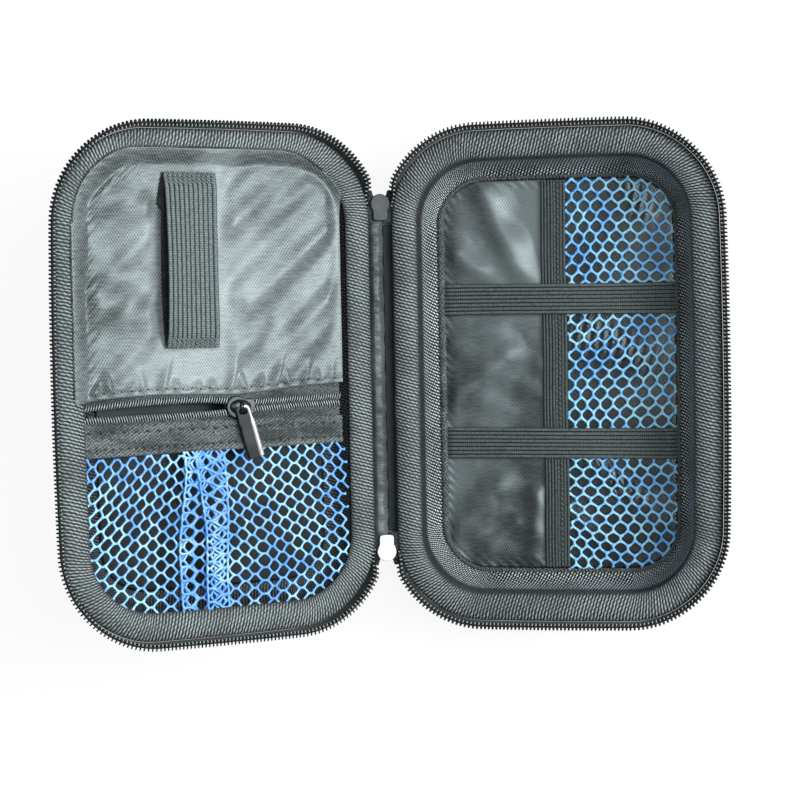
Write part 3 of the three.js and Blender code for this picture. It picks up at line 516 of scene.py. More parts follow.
def wound(name, dark, light):
    """Wound coil filament, with a painted highlight along its upper side and dark beneath."""
    made = Finish(name, 0.3, 0.6, coat=0.4)
    along, around = made.cloth()
    # painted highlight on the upper side of the filament
    top = made.between(made.math("SINE", made.times(around, TURN)), 0.68, 0.98)
    scuff = made.mottle(700, 2, 0.3, 0.7, 0.45, 1.15)
    made.painted(made.times(top, scuff), grey(dark), grey(light))
    made.rough(made.mottle(900, 2, 0.3, 0.7, 0.25, 0.4))


def metal(name, dark, light, roughness, metallic):
    """Plated slider metal, rubbed a little in places."""
    made = Finish(name, roughness, 0.5, metallic=metallic)
    rubbed = made.mottle(130, 2, 0.45, 0.75)
    made.painted(rubbed, grey(dark, 0.04), grey(light, 0.04))
    made.rough(made.mottle(160, 2, 0.3, 0.7, roughness - 0.03, roughness + 0.06))
    made.bump(made.noise(1200, 2), 0.000006)


def thread(name, dark, light):
    """Sewing thread with its twist."""
    made = Finish(name, 0.6, 0.4, sheen=0.2)
    along, around = made.cloth()
    twist = made.wave(made.sum(around, 1.0, made.times(along, 4.0)), 1.0)
    made.painted(made.between(twist, -0.8, 0.9), grey(dark), grey(light))
    made.bump(twist, 0.00005)


LINING_ROWS = (0.77, -0.24)
LINING_BREAKS = (0.42, -0.73)
# Painted shade: the binding darker on its outer and inner flanks, the wall darker near the floor and nearly
# black under the roll
BINDING_PAINTED_SHADE = ((1.0, 3.0, 0.3, 1.0), (9.8, 12.6, 1.0, 0.08))
WALL_PAINTED_SHADE = ((0.0, 5.0, 0.45, 1.0), (13.0, 16.5, 1.0, 0.01))
woven("shell_cloth", 0.010, 0.09, LINING_ROWS, LINING_BREAKS)
woven("binding_cloth", 0.024, 0.44, WEAVE_ROWS, WEAVE_BREAKS, 0.0, 0.4, BINDING_PAINTED_SHADE)
woven("wall_cloth", 0.006, 0.86, LINING_ROWS, LINING_BREAKS, 0.15, 0.65, WALL_PAINTED_SHADE)
woven("lid_wall_cloth", 0.01, 0.2, LINING_ROWS, LINING_BREAKS)
satin("base_floor_satin", grey(0.008), grey(0.034), 0.2, gloss=0.8)
satin("lid_floor_satin", grey(0.004), grey(0.018), 0.45, gloss=0.3)
satin("light_satin", grey(0.03, 0.14, 0.04), grey(0.37, 0.14, 0.04), 0.38, 0.36, 0.7)
# painted sheen: the slanting patches of the dark satin span a wide range
satin("dark_satin", grey(0.01, 0.17, 0.04), grey(0.17, 0.17, 0.04), 0.36, 0.3, 1.0, (0.1, 0.95))
satin("spine_satin", grey(0.03, 0.16, 0.04), grey(0.2, 0.16, 0.04), 0.4)
nylon("coil_nylon", 0.004, 0.02)
wound("pocket_nylon", 0.003, 0.62)
net_yarn("base_net_blue", tone(0.035, 0.34, 1.0), tone(0.42, 0.84, 1.0))
net_yarn("lid_net_blue", tone(0.015, 0.27, 0.95), tone(0.5, 0.9, 1.0))
LOOKS = {
    twill: {
        "rim_tape_twill": (0.006, 0.05),
        "pocket_tape_twill": (0.006, 0.15),
        "header_twill": (0.008, 0.24),
        # dark twill of the pocket coil cores and of the painted shadow strip on the spine
        "seam_twill": (0.003, 0.012),
    },
    elastic: {
        "band_elastic": (0.002, 0.18, BAND_RIB),
        "centre_elastic": (0.001, 0.13, CENTRE_RIB),
        "loop_elastic": (0.015, 0.3, LOOP_RIB),
    },
    metal: {
        "dark_metal": (0.05, 0.07, 0.4, 0.4),
        "gun_metal": (0.012, 0.03, 0.24, 0.5),
        # painted reflection: a pale copy of the slider metal for the front slider
        "bright_metal": (0.82, 0.9, 0.36, 0.4),
        "pull_metal": (0.012, 0.02, 0.26, 0.6),
        # painted highlight: pale metal for the bright strip on the pocket pull
        "silver_metal": (0.75, 0.9, 0.22, 0.7),
    },
    thread: {
        "dark_thread": (0.008, 0.06),
        "pale_thread": (0.12, 0.42),
        "edge_thread": (0.02, 0.2),
        "bright_thread": (0.3, 0.75),
    },
}
for kind, names in LOOKS.items():
    for name, values in names.items():
        kind(name, *values)


# Moulded shell, lining, binding and zip of one half
BASE_SHELL = [(13.2, 0), (11.8, 0.9), (11.1, 3), (5.8, 25.5), (0.6, 27.1), (0.6, 29.2), (8.2, 29.2)]
BASE_SHELL += [(8.7, 28), (9.0, 24), (10.4, 16), (14.6, 8.2), (15.6, 6.8), (16.6, 6)]
BASE_LINING = [(17.4, 7.2), (17.2, 8.3), (15.6, 9.1), (13.4, 11.0), (11.2, 16), (9.6, 24), (9.35, 28.9)]
BASE_TRAY = {"depth": BASE_DEPTH, "shell": BASE_SHELL, "lining": BASE_LINING, "floor": 7.0}
LID_SHELL = [(12.5, 0), (10.6, 0.7), (9.8, 2.2), (5.8, 10.6), (0.6, 11.1), (0.6, 13.2), (8.2, 13.2)]
LID_SHELL += [(8.7, 12), (9.6, 7.6), (11.8, 4.4), (13.2, 2.9), (16.6, 2)]
LID_LINING = [(17.2, 3.0), (14.2, 3.8), (12.5, 5.2), (10.2, 8.0), (9.5, 11.0)]
LID_TRAY = {"depth": LID_DEPTH, "shell": LID_SHELL, "lining": LID_LINING, "floor": 3.0}
SHELL_STEPS = 360
LINING_STEPS = 420
FOOT_WAVE = 7.0
FLOOR_INSET = 17.2
BINDING_WIDTH = 9.4
BINDING_THICKNESS = 2.5
RIB_HEIGHT = 0.17
TOOTH_PITCH = 1.55
TOOTH_WIRE = 0.32


def wall_form(corners, count, ripple_height=0.0):
    """A skin that runs round the rim; its foot may lie in small waves."""
    line = rounded(corners, 2, False)
    along = round_rim(count)
    points = rim_points(along[:, None], line[:, 0], line[:, 1])
    points[..., 2] += ripple_height * sway(along, FOOT_WAVE)[:, None] * smooth(line[:, 0], 13, 17)
    marks = stacked(np.append(along, RIM_LENGTH)[:, None], run_length(line))
    return Form().grid(points, marks, wrap_rows=True)


def shell_form(tray):
    """Outer skin of a half, closed at its foot and under its lining."""
    form = wall_form(tray["shell"], SHELL_STEPS)
    skin = form.points[0].reshape(SHELL_STEPS, -1, 3)
    return form.cap(skin[:, 0], flip=True).cap(skin[:, -1])


def floor_form(tray, fold):
    """Floor cloth, whose soft folds catch the light."""
    inset = np.concatenate([np.linspace(FLOOR_INSET, 34.5, 16), [34.9]])
    rings = rim_points(round_rim(LINING_STEPS)[:, None], inset, tray["floor"])
    inward = np.linspace(1, 0.02, 40)[1:]
    points = np.concatenate([rings, rings[:, -1:] * stacked(inward, inward, 1)], 1)
    held = smooth(np.concatenate([inset, np.full(len(inward), CORNER)]), FLOOR_INSET, 20)
    points[..., 2] += fold(points[..., 0], points[..., 1]) * held
    return Form().grid(points, np.concatenate([points, points[:1]])[..., :2], wrap_rows=True)


def binding_line(depth):
    """Section of the roll, whose inner side hangs a little over the well."""
    foot = depth - BINDING_THICKNESS
    outer = [(0.1, foot), (-0.25, depth - 1.5), (0.7, depth - 0.3), (3.4, depth + 0.4)]
    inner = [(6.2, depth + 0.1), (8.8, depth - 1.0), (10.3, depth - 2.1), (9.5, foot)]
    return rounded(outer + inner, 2, True)


def zipped(along):
    """Share by which a place on the rim belongs to the zipped sides."""
    return smooth(along, ZIP_START - 14, ZIP_START + 6) * smooth(-along, -ZIP_END - 14, -ZIP_END + 6)


def binding_form(tray, first=0.0, last=RIM_LENGTH, lift=0.0):
    """Rolled cloth whose ribs slant across the rim and bulge out over the zip tape."""
    depth = tray["depth"]
    line = binding_line(depth)
    middle = np.array([BINDING_WIDTH / 2, depth - 1.2])
    line = middle + (line - middle) * (1 + lift)
    whole = last - first == RIM_LENGTH
    count = 4 * round((last - first) * WEAVE_ROWS[0])
    along = first + np.linspace(0, last - first, count, endpoint=False)
    reach = run_length(line, True)
    upper = smooth(line[:, 1], depth - 2.2, depth - 1.0)
    uneven = uneven_rim(along, 0.6, 1.3, 480)
    turns = along[:, None] * WEAVE_ROWS[0] + reach[:-1] * WEAVE_ROWS[1]
    rib = RIB_HEIGHT * np.sin(turns * TURN) * uneven[:, None]
    soft = 0.12 * sway(along, 41) + 0.08 * sway(along, 17, 1)
    height = line[:, 1] + (rib + soft[:, None]) * upper
    bulge = smooth(line[:, 0], 3.5, 0) * zipped(np.mod(along, RIM_LENGTH))[:, None]
    points = rim_points(along[:, None], line[:, 0] - bulge, height)
    ends = np.append(along, last) if whole else along
    form = Form().grid(points, stacked(ends[:, None], reach), wrap_rows=whole, wrap_columns=True)
    return form if whole else form.cap(points[0], flip=True).cap(points[-1])


ZIP_ENTRY = 7
ZIP_FIRST = ZIP_START - ZIP_ENTRY
ZIP_LAST = ZIP_END + ZIP_ENTRY
TOOTH_COUNT = round((ZIP_LAST - ZIP_FIRST) / TOOTH_PITCH)


def zip_dive(along):
    """Share by which the zip has sunk from the rim into the mouth of a slider."""
    return np.maximum(smooth(along, ZIP_START + 4, ZIP_START - 5), smooth(along, ZIP_END - 4, ZIP_END + 5))


def zip_points(along, inset, height):
    """Points beside the zip, which sinks toward the sliders."""
    dive = zip_dive(along)
    return rim_points(along, inset + 1.3 * dive, height - 4.4 * dive)


def rim_tape_form(tray):
    """Zip tape that leans outward from under the binding."""
    depth = tray["depth"]
    outer = [(-1.15, depth - 2.4), (-1.75, depth - 2.3), (-2.2, depth), (-2.75, depth + 2.6)]
    inner = [(-2.5, depth + 3.0), (-2.0, depth + 2.6), (-1.35, depth + 0.1)]
    line = rounded(outer + inner, 2, True)
    along = np.linspace(ZIP_FIRST, ZIP_LAST, 460)[:, None]
    points = zip_points(along, line[:, 0], line[:, 1])
    marks = stacked(along, run_length(line, True))
    return Form().grid(points, marks, wrap_columns=True).cap(points[0], flip=True).cap(points[-1])


def rim_coil_form(tray):
    """One wound loop of filament for each tooth, leaning a little along the rim."""
    depth = tray["depth"]
    middle = ZIP_FIRST + (np.arange(TOOTH_COUNT) + 0.5) * (ZIP_LAST - ZIP_FIRST) / TOOTH_COUNT
    turn = np.arange(16) * TURN / 16
    lean = 0.16 * np.sin(turn) + 0.1 * np.cos(turn)
    loops = zip_points(middle[:, None] + lean, -2.9 - np.cos(turn), depth + 3.2 + 0.55 * np.sin(turn))
    cord = zip_points(np.linspace(ZIP_FIRST, ZIP_LAST, 400)[None], -2.5, depth + 3.0)
    return Form().tubes(loops, TOOTH_WIRE, 7, closed=True).tubes(cord, 0.6, 6)


def rim_stitch_form(tray):
    """Short pale stitches that hold the coil, one between two teeth."""
    start = ZIP_FIRST + np.arange(TOOTH_COUNT) * (ZIP_LAST - ZIP_FIRST) / TOOTH_COUNT
    share = spread(5)
    along = start[:, None] + 0.1 + 0.12 * share
    paths = zip_points(along, -1.5 - 1.1 * share, tray["depth"] + 2.9 + 0.5 * arch(share))
    return Form().tubes(paths, 0.3 * (0.6 + 0.4 * arch(share)), 5)


FLOOR_FOLDS = [
    (1.0, (8, -34), (34, -54), 3.6),
    (1.0, (2, -58), (16, -70), 4),
    (0.8, (12, 16), (36, 4), 6),
    (0.7, (30, 76), (36, 66), 4),
]


def base_floor_fold(x, y):
    """Crinkled patches of the floor cloth that catch the light behind the net."""
    soft = 0.2 * ripple(x, y, 31, 0.5) * ripple(x, y, 47, -0.9)
    patches = ridges(x, y, FLOOR_FOLDS)
    crinkle = 0.34 * ripple(x, y, 3.6, 1.3, 1.4 * np.sin(y / 5)) + 0.14 * ripple(x, y, 2.3, 1.9)
    return 0.1 + soft + (0.35 + crinkle) * np.minimum(patches, 1.0)


def flat_floor(x, y):
    return 0.1 * ripple(x, y, 37, 0.6)


def half_pieces(prefix, tray, place, fold, wall, floor):
    """All pieces that both halves have in their own measures."""

    def own(kind, form, material, node="", thickness=0.0):
        nodes = [f"{prefix}_{node}"] if node else ()
        piece(f"{prefix}_{kind}", form, prefix, material, nodes, thickness, place)

    own("shell_skin", shell_form(tray), "shell_cloth", "shell")
    lining = wall_form(tray["lining"], LINING_STEPS, ripple_height=0.12)
    own("wall_cloth", lining, wall, "inner_lining", 0.5)
    own("floor_cloth", floor_form(tray, fold), floor, "", 0.3)
    own("binding_roll", binding_form(tray), "binding_cloth", "rim_binding")
    own("tape_cloth", rim_tape_form(tray), "rim_tape_twill", "zip_tape")
    own("coil_teeth", rim_coil_form(tray), "coil_nylon", "zip_coil")
    own("coil_stitches", rim_stitch_form(tray), "bright_thread")


half_pieces("base", BASE_TRAY, PLACES["base"], base_floor_fold, "wall_cloth", "base_floor_satin")
half_pieces("lid", LID_TRAY, LID @ turned(180, "Z"), flat_floor, "lid_wall_cloth", "lid_floor_satin")
SEAM_START = float(KNOTS[-2]) + CORE_Y - 17
seam = binding_form(BASE_TRAY, SEAM_START, SEAM_START + 10, lift=0.06)
piece("base_binding_seam", seam, "base", "binding_cloth")


# Fittings on the floor of the deep half
PANEL_TOP = 7.9
PANEL_RIGHT = -5.0
BAND_FOOT = 9.8
CENTRE_FOOT = 8.7
BAND_MIDDLES = {"upper": 31.3, "lower": -28.7}
BAND_HALF = 6.5
BAND_ENDS = (-50, 49.2)
CENTRE_LEFT = -7.2
CENTRE_WIDTH = 10.4
CENTRE_HALF = 80.5
BRAID_AT = 6.6
EDGE_INSET = 16.7
EDGE_TOP = 8.85
EDGE_STITCH_INSET = 16.9
EDGE_STITCH_TOP = 8.9
EDGE_STITCH_PITCH = 1.45
PANEL_FOLDS = [
    (3.2, (-31, 76), (-14, 38), 5.6),
    (2.9, (-42, 50), (-24, 33), 5.2),
    (-0.7, (-9, 78), (-8, 52), 4),
    (3.0, (-23, 7), (-49, -14), 6.4),
    (1.3, (-46, 14), (-26, 22), 5),
    (1.5, (-12, -76), (-11, -50), 4),
    (2.0, (-46, -68), (-28, -50), 6.5),
    (1.2, (-34, -76), (-20, -62), 4),
]


def panel_height(x, y):
    """Slack folds of the pocket panel, pressed down under the two bands."""
    soft = 0.3 * ripple(x, y, 23, 0.7) + 0.2 * ripple(x, y, 13, -0.5, 1)
    pressed = np.minimum(*(smooth(np.abs(y - middle), 5, 15) for middle in BAND_MIDDLES.values()))
    edge = smooth(x, -48.5, -43) * smooth(-x, 5.4, 10)
    return np.maximum((ridges(x, y, PANEL_FOLDS) + soft) * edge * (0.2 + 0.8 * pressed), -0.1)


def panel_form():
    """Slack satin, puckered where it is sewn in."""
    left, right = HINGE_X + FLOOR_INSET, PANEL_RIGHT
    x = left + (right - left) * (1 - np.cos(spread(90)[:, None] * math.pi / 2))
    y = plan_reach(x, FLOOR_INSET) * (2 * spread(260) - 1)
    near = smooth(plan_reach(x, FLOOR_INSET) - np.abs(y), 6, 0) + smooth(x, left + 6, left)
    pucker = 0.16 * sway(x + y, 4.4, 2 * np.sin(y / 7)) * np.minimum(near, 1)
    z = PANEL_TOP + 0.15 + panel_height(x, y) + pucker
    return draped(x, y, z)


def centre_tape_form():
    """Ribs at the left, a braided row in the middle and flat twill at the right."""
    across = np.linspace(0, CENTRE_WIDTH, 90)
    y = np.linspace(CENTRE_HALF, -CENTRE_HALF, 400)[:, None]
    rib = 0.42 * ribbed(across, CENTRE_RIB) * smooth(across, 5.8, 5.0)
    braid = bell(across, BRAID_AT, 0.75)
    rolled = -0.5 * (smooth(across, 0.8, 0) + smooth(across, 9.8, CENTRE_WIDTH))
    rolled = rolled + 0.25 * smooth(across, 9.0, 9.5)
    x = CENTRE_LEFT + across + 0.15 * sway(y, 60)
    beads = 0.4 * braid * sway(y, 2.1, 2.6 * np.abs(across - BRAID_AT))
    z = CENTRE_FOOT + 0.65 + (rib + rolled) + beads
    return Form().grid(stacked(x, y, z), stacked(y, across))


def band_form(middle):
    """Ribbed elastic across the well, its ends turned down into the wall seam."""
    across = np.linspace(-BAND_HALF, BAND_HALF, 105)
    along = np.linspace(*BAND_ENDS, 180)[:, None]
    rib = 0.45 * ribbed(across, BAND_RIB)
    strength = 0.35 + 0.65 * smooth(along, 36, -10)
    ends = 1.6 * (smooth(along, -45, -50) + smooth(along, 44.5, 49.2))
    narrow = 1 - 0.03 * np.sin((along + 50) * math.pi / 99)
    y = middle + across * narrow - 0.5 * np.sin(along / 49 * 1.4)
    lifted = 0.35 * ripple(along, 0, 60, math.pi / 2, 0.6)
    z = BAND_FOOT + 0.5 + rib * strength - ends + 0.3 + lifted * 0.6
    return Form().grid(stacked(along, y, z), stacked(along, across))


def beside_hinge(along):
    """Share by which a place on the rim belongs to the hinge side."""
    angle = np.interp(np.mod(along, RIM_LENGTH), KNOTS, KNOT_ANGLE)
    return smooth(np.abs(angle) / math.pi, 0.78, 0.97)


def edge_piping_form():
    """Sewn edge round the floor fittings, thick beside the satin panel."""
    along = round_rim(900)
    uneven = uneven_rim(along, -0.12, 0.12, 260)
    thick = 0.55 + 0.8 * beside_hinge(along) + uneven
    path = rim_points(along, EDGE_INSET + uneven, EDGE_TOP + 0.25 * thick)
    return Form().tubes(path[None], thick, 10, closed=True, sizes=(RIM_LENGTH, 6))


def edge_stitch_form():
    """Overlocked threads round that edge."""
    along = np.arange(0, RIM_LENGTH, EDGE_STITCH_PITCH)
    share = spread(7)
    lean = 1.2 * share + chance.uniform(-0.3, 0.3, (len(along), 1))
    reach = (0.8 + 0.8 * beside_hinge(along))[:, None]
    turn = (share - 0.5) * 2.4
    inset = EDGE_STITCH_INSET + reach * np.sin(turn) + chance.uniform(-0.15, 0.15, (len(along), 1))
    height = EDGE_STITCH_TOP + reach * (np.cos(turn) - 0.1)
    paths = rim_points(along[:, None] + lean, inset, height)
    return Form().tubes(paths, 0.3 * (0.35 + arch(share)), 5)


# Knitted nets of six-sided meshes
CELL_LENGTH = 5.5
CELL_ROW = 4.0
CELL_SIDE_SHARE = 0.47
BASE_NET_MIDDLE = 23


def net_form(half_length, half_width, keep, lay, wire, height):
    """Strands between the knots of the net; rows run along its length, and lay puts it on the plan."""
    last_column = math.ceil(half_length / CELL_LENGTH)
    last_row = math.ceil(half_width / CELL_ROW)
    cells = np.meshgrid(np.arange(-last_column, last_column + 1), np.arange(-last_row, last_row + 1))
    column, row = (part.ravel() for part in cells)
    run = (column + 0.5 * (row % 2)) * CELL_LENGTH
    up = row * CELL_ROW
    side = CELL_ROW * CELL_SIDE_SHARE / 2
    peak = stacked(run, up + CELL_ROW - side)
    right = stacked(run + CELL_LENGTH / 2, up + side)
    left = stacked(run - CELL_LENGTH / 2, up + side)
    foot = stacked(run + CELL_LENGTH / 2, up - side)
    starts = np.concatenate([peak, peak, right])
    ends = np.concatenate([right, left, foot])
    share = spread(6)
    line = starts[:, None] + (ends - starts)[:, None] * share[:, None]
    plan = lay(line[..., 0], line[..., 1])
    plan = plan[keep(plan[:, 2, 0], plan[:, 2, 1]) | keep(plan[:, 3, 0], plan[:, 3, 1])]
    loose = chance.uniform(-0.2, 0.2, plan[:, :1].shape)
    plan = plan + loose * arch(share)[:, None]
    plan[..., 2] += height + 0.12 * np.sin(share * TURN)
    return Form().tubes(plan, wire * (0.85 + 0.55 * np.abs(2 * share - 1) ** 2.2), 7, flatten=0.75)


def base_net_lay(run, up):
    """Slack net: rows sag between the bands and lean where the cloth is pulled."""
    middle = run + BASE_NET_MIDDLE
    pulled = ridge(middle, up, (6, 20), (38, -8), 7) + ridge(middle, up, (4, -50), (26, -74), 7)
    x = middle + 1.2 * np.sin(up / 17) + 0.6 * np.sin(run / 7 + up / 11) + 0.05 * up * smooth(up, 30, 80)
    y = up + 1.0 * np.sin(run / 13 + up / 29) + 0.8 * np.sin(up / 12 + 1) - 0.9 * pulled
    lift = (0.35 * np.sin(run / 9) * np.sin(up / 14) + 0.9 * pulled) * smooth(x, 3, 9)
    lift = lift - 0.8 * smooth(x, 44.5, 47.4)
    return stacked(x, y, lift)


def base_net_kept(x, y):
    return (x > 3.1) & (x < FREE_X - 15.6) & (np.abs(y) < plan_reach(x, EDGE_STITCH_INSET))


# Gathers of the lid net: place and width of the doubled cloth, and how much it takes in
GATHERS = ((-16.85, 2.5, 7.5), (13.85, 3.5, 10.5))
GATHER_MIDDLE = -8.75


def lid_net_lay(run, up):
    """Net whose rows run along Y, gathered twice; each gather doubles the cloth back on itself."""
    y = run * 0.97 - 57.5
    high = smooth(y, -88, -27)
    spot, lift = up, np.zeros_like(up)
    for place, width, taken in GATHERS:
        away = up - place
        spot = spot - taken * (1 + 0.22 * high**2) * np.tanh(away / width)
        near = bell(away, 0, 2.6 * width)
        lift = lift + near * (1.3 + 0.8 * np.tanh(away / width))
    drawn = np.where(spot < 0, 1 - 0.2 * high**2, 1 - 0.06 * high**2)
    x = GATHER_MIDDLE + spot * drawn + 0.5 * np.sin(y / 9 + up / 14)
    soft = 1.1 * ridge(x, y, (16, -30), (18, -84), 3)
    y = y + 0.7 * np.sin(up / 9) + 0.05 * np.minimum(spot + 8, 0) * (0.6 - high)
    lift = lift * smooth(header_foot(x) - y, 0.5, 7)
    return stacked(x + 0.8 * soft * np.tanh((x - 17) / 3), y, lift + soft * 0.5)


SATIN_RIGHT = 53.8


def lid_share(x):
    """Share of the way over the lid plan, from its free side to the spine."""
    return (x - HINGE_X) / (-2 * HINGE_X)


def header_foot(x):
    return -27.4 + 2.0 * lid_share(x)


def lid_net_kept(x, y):
    inside = (y < header_foot(x) - 0.2) & (x < SATIN_RIGHT + 0.6) & (x > -57.5)
    return inside & (-y < plan_reach(-x, 8.9))


piece("base_panel_satin", panel_form(), "base", "dark_satin", ["base_pocket_panel"], 0.3)
tape = centre_tape_form()
piece("base_centre_elastic", tape, "base", "centre_elastic", ["base_centre_tape"], 0.5)
for side, middle in BAND_MIDDLES.items():
    band = band_form(middle)
    nodes = [f"base_elastic_band_{side}"]
    piece(f"base_band_{side}_elastic", band, "base", "band_elastic", nodes, 0.6)
piece("base_edge_piping", edge_piping_form(), "base", "header_twill")
piece("base_edge_stitches", edge_stitch_form(), "base", "edge_thread")
base_net = net_form(30, 84, base_net_kept, base_net_lay, wire=0.62, height=8.7)
piece("base_net_strands", base_net, "base", "base_net_blue", ["base_mesh_net"])
lid_net = net_form(36, 90, lid_net_kept, lid_net_lay, wire=0.55, height=12.55)
piece("lid_net_strands", lid_net, "lid", "lid_net_blue", ["lid_mesh_net"])


# Spine cloth between the halves
SPINE_HALF = 66.6
SPINE_SHADOW_HALF = 63
CHAIN_START = 63.6
CHAIN_END = 77


def spine_form():
    """Slack strip that runs under both bindings and sinks toward the deep half."""
    u = spread(48)[:, None]
    v = np.linspace(-SPINE_HALF, SPINE_HALF, 270)
    whole = smooth(SPINE_HALF - np.abs(v), 0.5, 4)
    crown = 2.2 * smooth(u, 0, 0.22) * smooth(u, 0.75, 0.3) - 2.0 * smooth(u, 0.45, 0.8) * smooth(u, 1, 0.88)
    crease = 0.3 * sway(v, 11, 3 * u) + 0.2 * sway(v, 6.3, 1)
    crease = crease * smooth(u, 0, 0.25) * smooth(u, 1, 0.75)
    z = -2.35 + 0.45 * (1 - whole) + (crown * (1 + 0.12 * np.sin(v / 17)) + crease) * whole
    x = -4.45 + (10.9 * u - 5.45) * (0.55 + 0.45 * smooth(SPINE_HALF - np.abs(v), 0, 3.5))
    return draped(x, v, z)


def spine_shadow_strip_form():
    """Black strip on the spine cloth beside the deep half: a painted shadow in the recess next to the deep
    half's binding.
    """
    y = np.linspace(-SPINE_SHADOW_HALF, SPINE_SHADOW_HALF, 200)[:, None]
    share = spread(10)
    x = -3.3 + 4.1 * share
    z = -2.5 - 0.9 * smooth(share, 0, 0.5) * smooth(share, 1, 0.8) + 0.08 * np.sin(y / 5)
    return Form().grid(stacked(x, y, z), stacked(y, x))


def chain_tape_form(side, half):
    """Zip tape of one half, on its way from the rim through the slider to the spine cloth."""
    y = np.linspace(CHAIN_START, CHAIN_END, 24)[:, None]
    share = spread(10)
    rim = CORNER - np.sqrt(CORNER**2 - np.maximum(y - CORE_Y, 0) ** 2)
    outer = 1.0 + rim if half > 0 else -9.9 - rim
    inner = -3.5 + 0.8 * rim if half > 0 else -5.5 - 0.8 * rim
    x = outer + (inner - outer) * share
    z = -1.9 + 0.25 * arch(share)
    return Form().grid(stacked(x, y * side, z), stacked(y * side, x))


piece("spine_satin_cloth", spine_form(), "spine", "spine_satin", ["hinge_spine"], 0.5)
# painted shadow in the recess beside the deep half
piece("spine_painted_shadow_strip", spine_shadow_strip_form(), "spine", "seam_twill", thickness=0.3)
for end, side in (("rear", 1), ("front", -1)):
    for owner, half in (("base", 1), ("lid", -1)):
        tape = chain_tape_form(side, half)
        piece(f"{end}_{owner}_chain_tape", tape, "spine", "rim_tape_twill", thickness=0.5)


# Satin panel of the shallow half
SATIN_FOOT = 12.15
SATIN_LEFT = -59.8
SATIN_TOP = 92.4
HEM_CORNERS = [(-62, -6.6), (-55.4, -5.6), (-45, -4.4), (-28.8, -3.5), (-8.2, -3.8)]
HEM_CORNERS += [(7.9, -4.6), (18.2, -3.6), (34.9, -2.1), (56, -0.9)]
HEM_LINE = rounded(HEM_CORNERS, 2, False)

# Gathers at the hem: foot, length, lean and size
PUCKERS = [(-51, 9, 1.2, 1.3), (-44, 15, -3.5, 1.0), (-37, 8, 2.0, 1.5), (-31, 13, -2.0, 1.1)]
PUCKERS += [(-24, 17, 4.5, 1.3), (-17, 8, -1.5, 1.2), (-9, 7, 1.0, 1.0), (-2, 8, -1.5, 1.4)]
PUCKERS += [(4, 18, 5.0, 1.5), (11, 15, -4.0, 1.4), (17, 9, 2.0, 1.6), (23, 18, 6.0, 1.3)]
PUCKERS += [(30, 10, -2.0, 1.4), (36, 15, 5.0, 1.5), (43, 9, -1.0, 1.2), (49, 14, 2.0, 1.2)]
SATIN_FOLDS = [
    (1.6, (-56, 76), (-30, 70), 7),
    (-1.3, (-57, 60), (-46, 54), 6),
    (1.9, (-56, 35), (-26, 26), 8),
    (-0.8, (-56, 46), (-30, 42), 5),
    (1.5, (4, 62), (44, 79), 8),
    (1.6, (12, 34), (48, 60), 6.5),
    (-1.2, (26, 28), (52, 51), 5),
    (1.1, (34, 22), (53, 38), 5),
    (1.0, (8, 14), (40, 17), 6),
]


def satin_edge(x):
    """Where the hem of the satin runs at x."""
    return np.interp(x, HEM_LINE[:, 0], HEM_LINE[:, 1])


def lid_inset(x, y):
    """Distance inside the lid rim of a place on the lid plan."""
    straight_x = -x / (1 + np.where(x < 0, SIDE_BULGE * np.maximum(1 - (y / END_Y) ** 2, 0) / FREE_X, 0))
    straight_y = np.abs(y) / (1 + END_BULGE / END_Y * np.maximum(1 - (x / HINGE_X) ** 2, 0))
    return CORNER - np.hypot(past_core(straight_x), np.maximum(straight_y - CORE_Y, 0))


def roll_clearance(inset):
    """Height of a cloth that lies on the inner slope of the lid roll."""
    places = [4.5, 6.2, 7.5, 8.8, 10.0, 11.5, 13.0]
    return np.interp(inset, places, [16.62, 16.4, 16.0, 15.4, 14.5, 13.1, 12.0])


def satin_height(x, y):
    """Broad soft folds that run from the sewn edges toward the loop."""
    folds = ridges(x, y, SATIN_FOLDS) + 0.6 * ripple(x, y, 27, 0.9)
    folds = folds + 0.4 * ripple(x, y, 13, 0.8, 1) * ripple(x, y, 38, 0.5)
    beside_loop = smooth(np.abs(x + 11), 12, 19)
    return folds * np.maximum(beside_loop, smooth(y, 84, 90))


def satin_puckers(x, y):
    """Gathers that fan out upward from the stitched hem."""
    height = 0
    for foot, length, lean, size in PUCKERS:
        base = satin_edge(foot)
        along = np.clip((y - base) / length, 0, 1)
        away = x - foot - lean * along
        steep = np.where(away > 0, 1.1, 2.6)
        rise = smooth(y - base, 0.5, 2.8) * smooth(y - base, length, 1)
        height = height + 1.7 * size * bell(away, 0, steep) * rise
    return height


def satin_top(x):
    """Where the far edge of the satin runs at x."""
    return np.minimum(plan_reach(-x, 5.0 + 4.0 * smooth(x, 20, 50)), SATIN_TOP)


def satin_form():
    """Panel from its hem to the slope of the roll, smoothly joined where folds meet the slope."""
    x = SATIN_LEFT + (SATIN_RIGHT - SATIN_LEFT) * (0.5 - 0.5 * np.cos(spread(320)[:, None] * math.pi))
    bottom = satin_edge(x)
    y = bottom + (satin_top(x) - bottom) * spread(210)
    above = y - bottom
    inset = lid_inset(x, y)
    inside = smooth(inset, 9, 17) * smooth(above, 0, 10)
    sides = smooth(-x, -SATIN_RIGHT, -SATIN_RIGHT + 7)
    gather = 0.3 * sway(x - y, 5.1) * smooth(inset, 18, 13) * smooth(x, -20, -40)
    hem = 0.35 * bell(above, 0.9, 0.8) - 0.35 * bell(above, 2.2, 0.7)
    flat = SATIN_FOOT + 0.5 + (satin_height(x, y) * inside + satin_puckers(x, y)) * sides + gather + hem
    wrinkle = 0.07 * sway(y, 3.1, np.sin(x / 5)) * smooth(inset, 11, 8)
    slope = roll_clearance(inset) + wrinkle
    z = 0.5 * (flat + slope + np.hypot(flat - slope, 0.9))
    return draped(x, y, z)


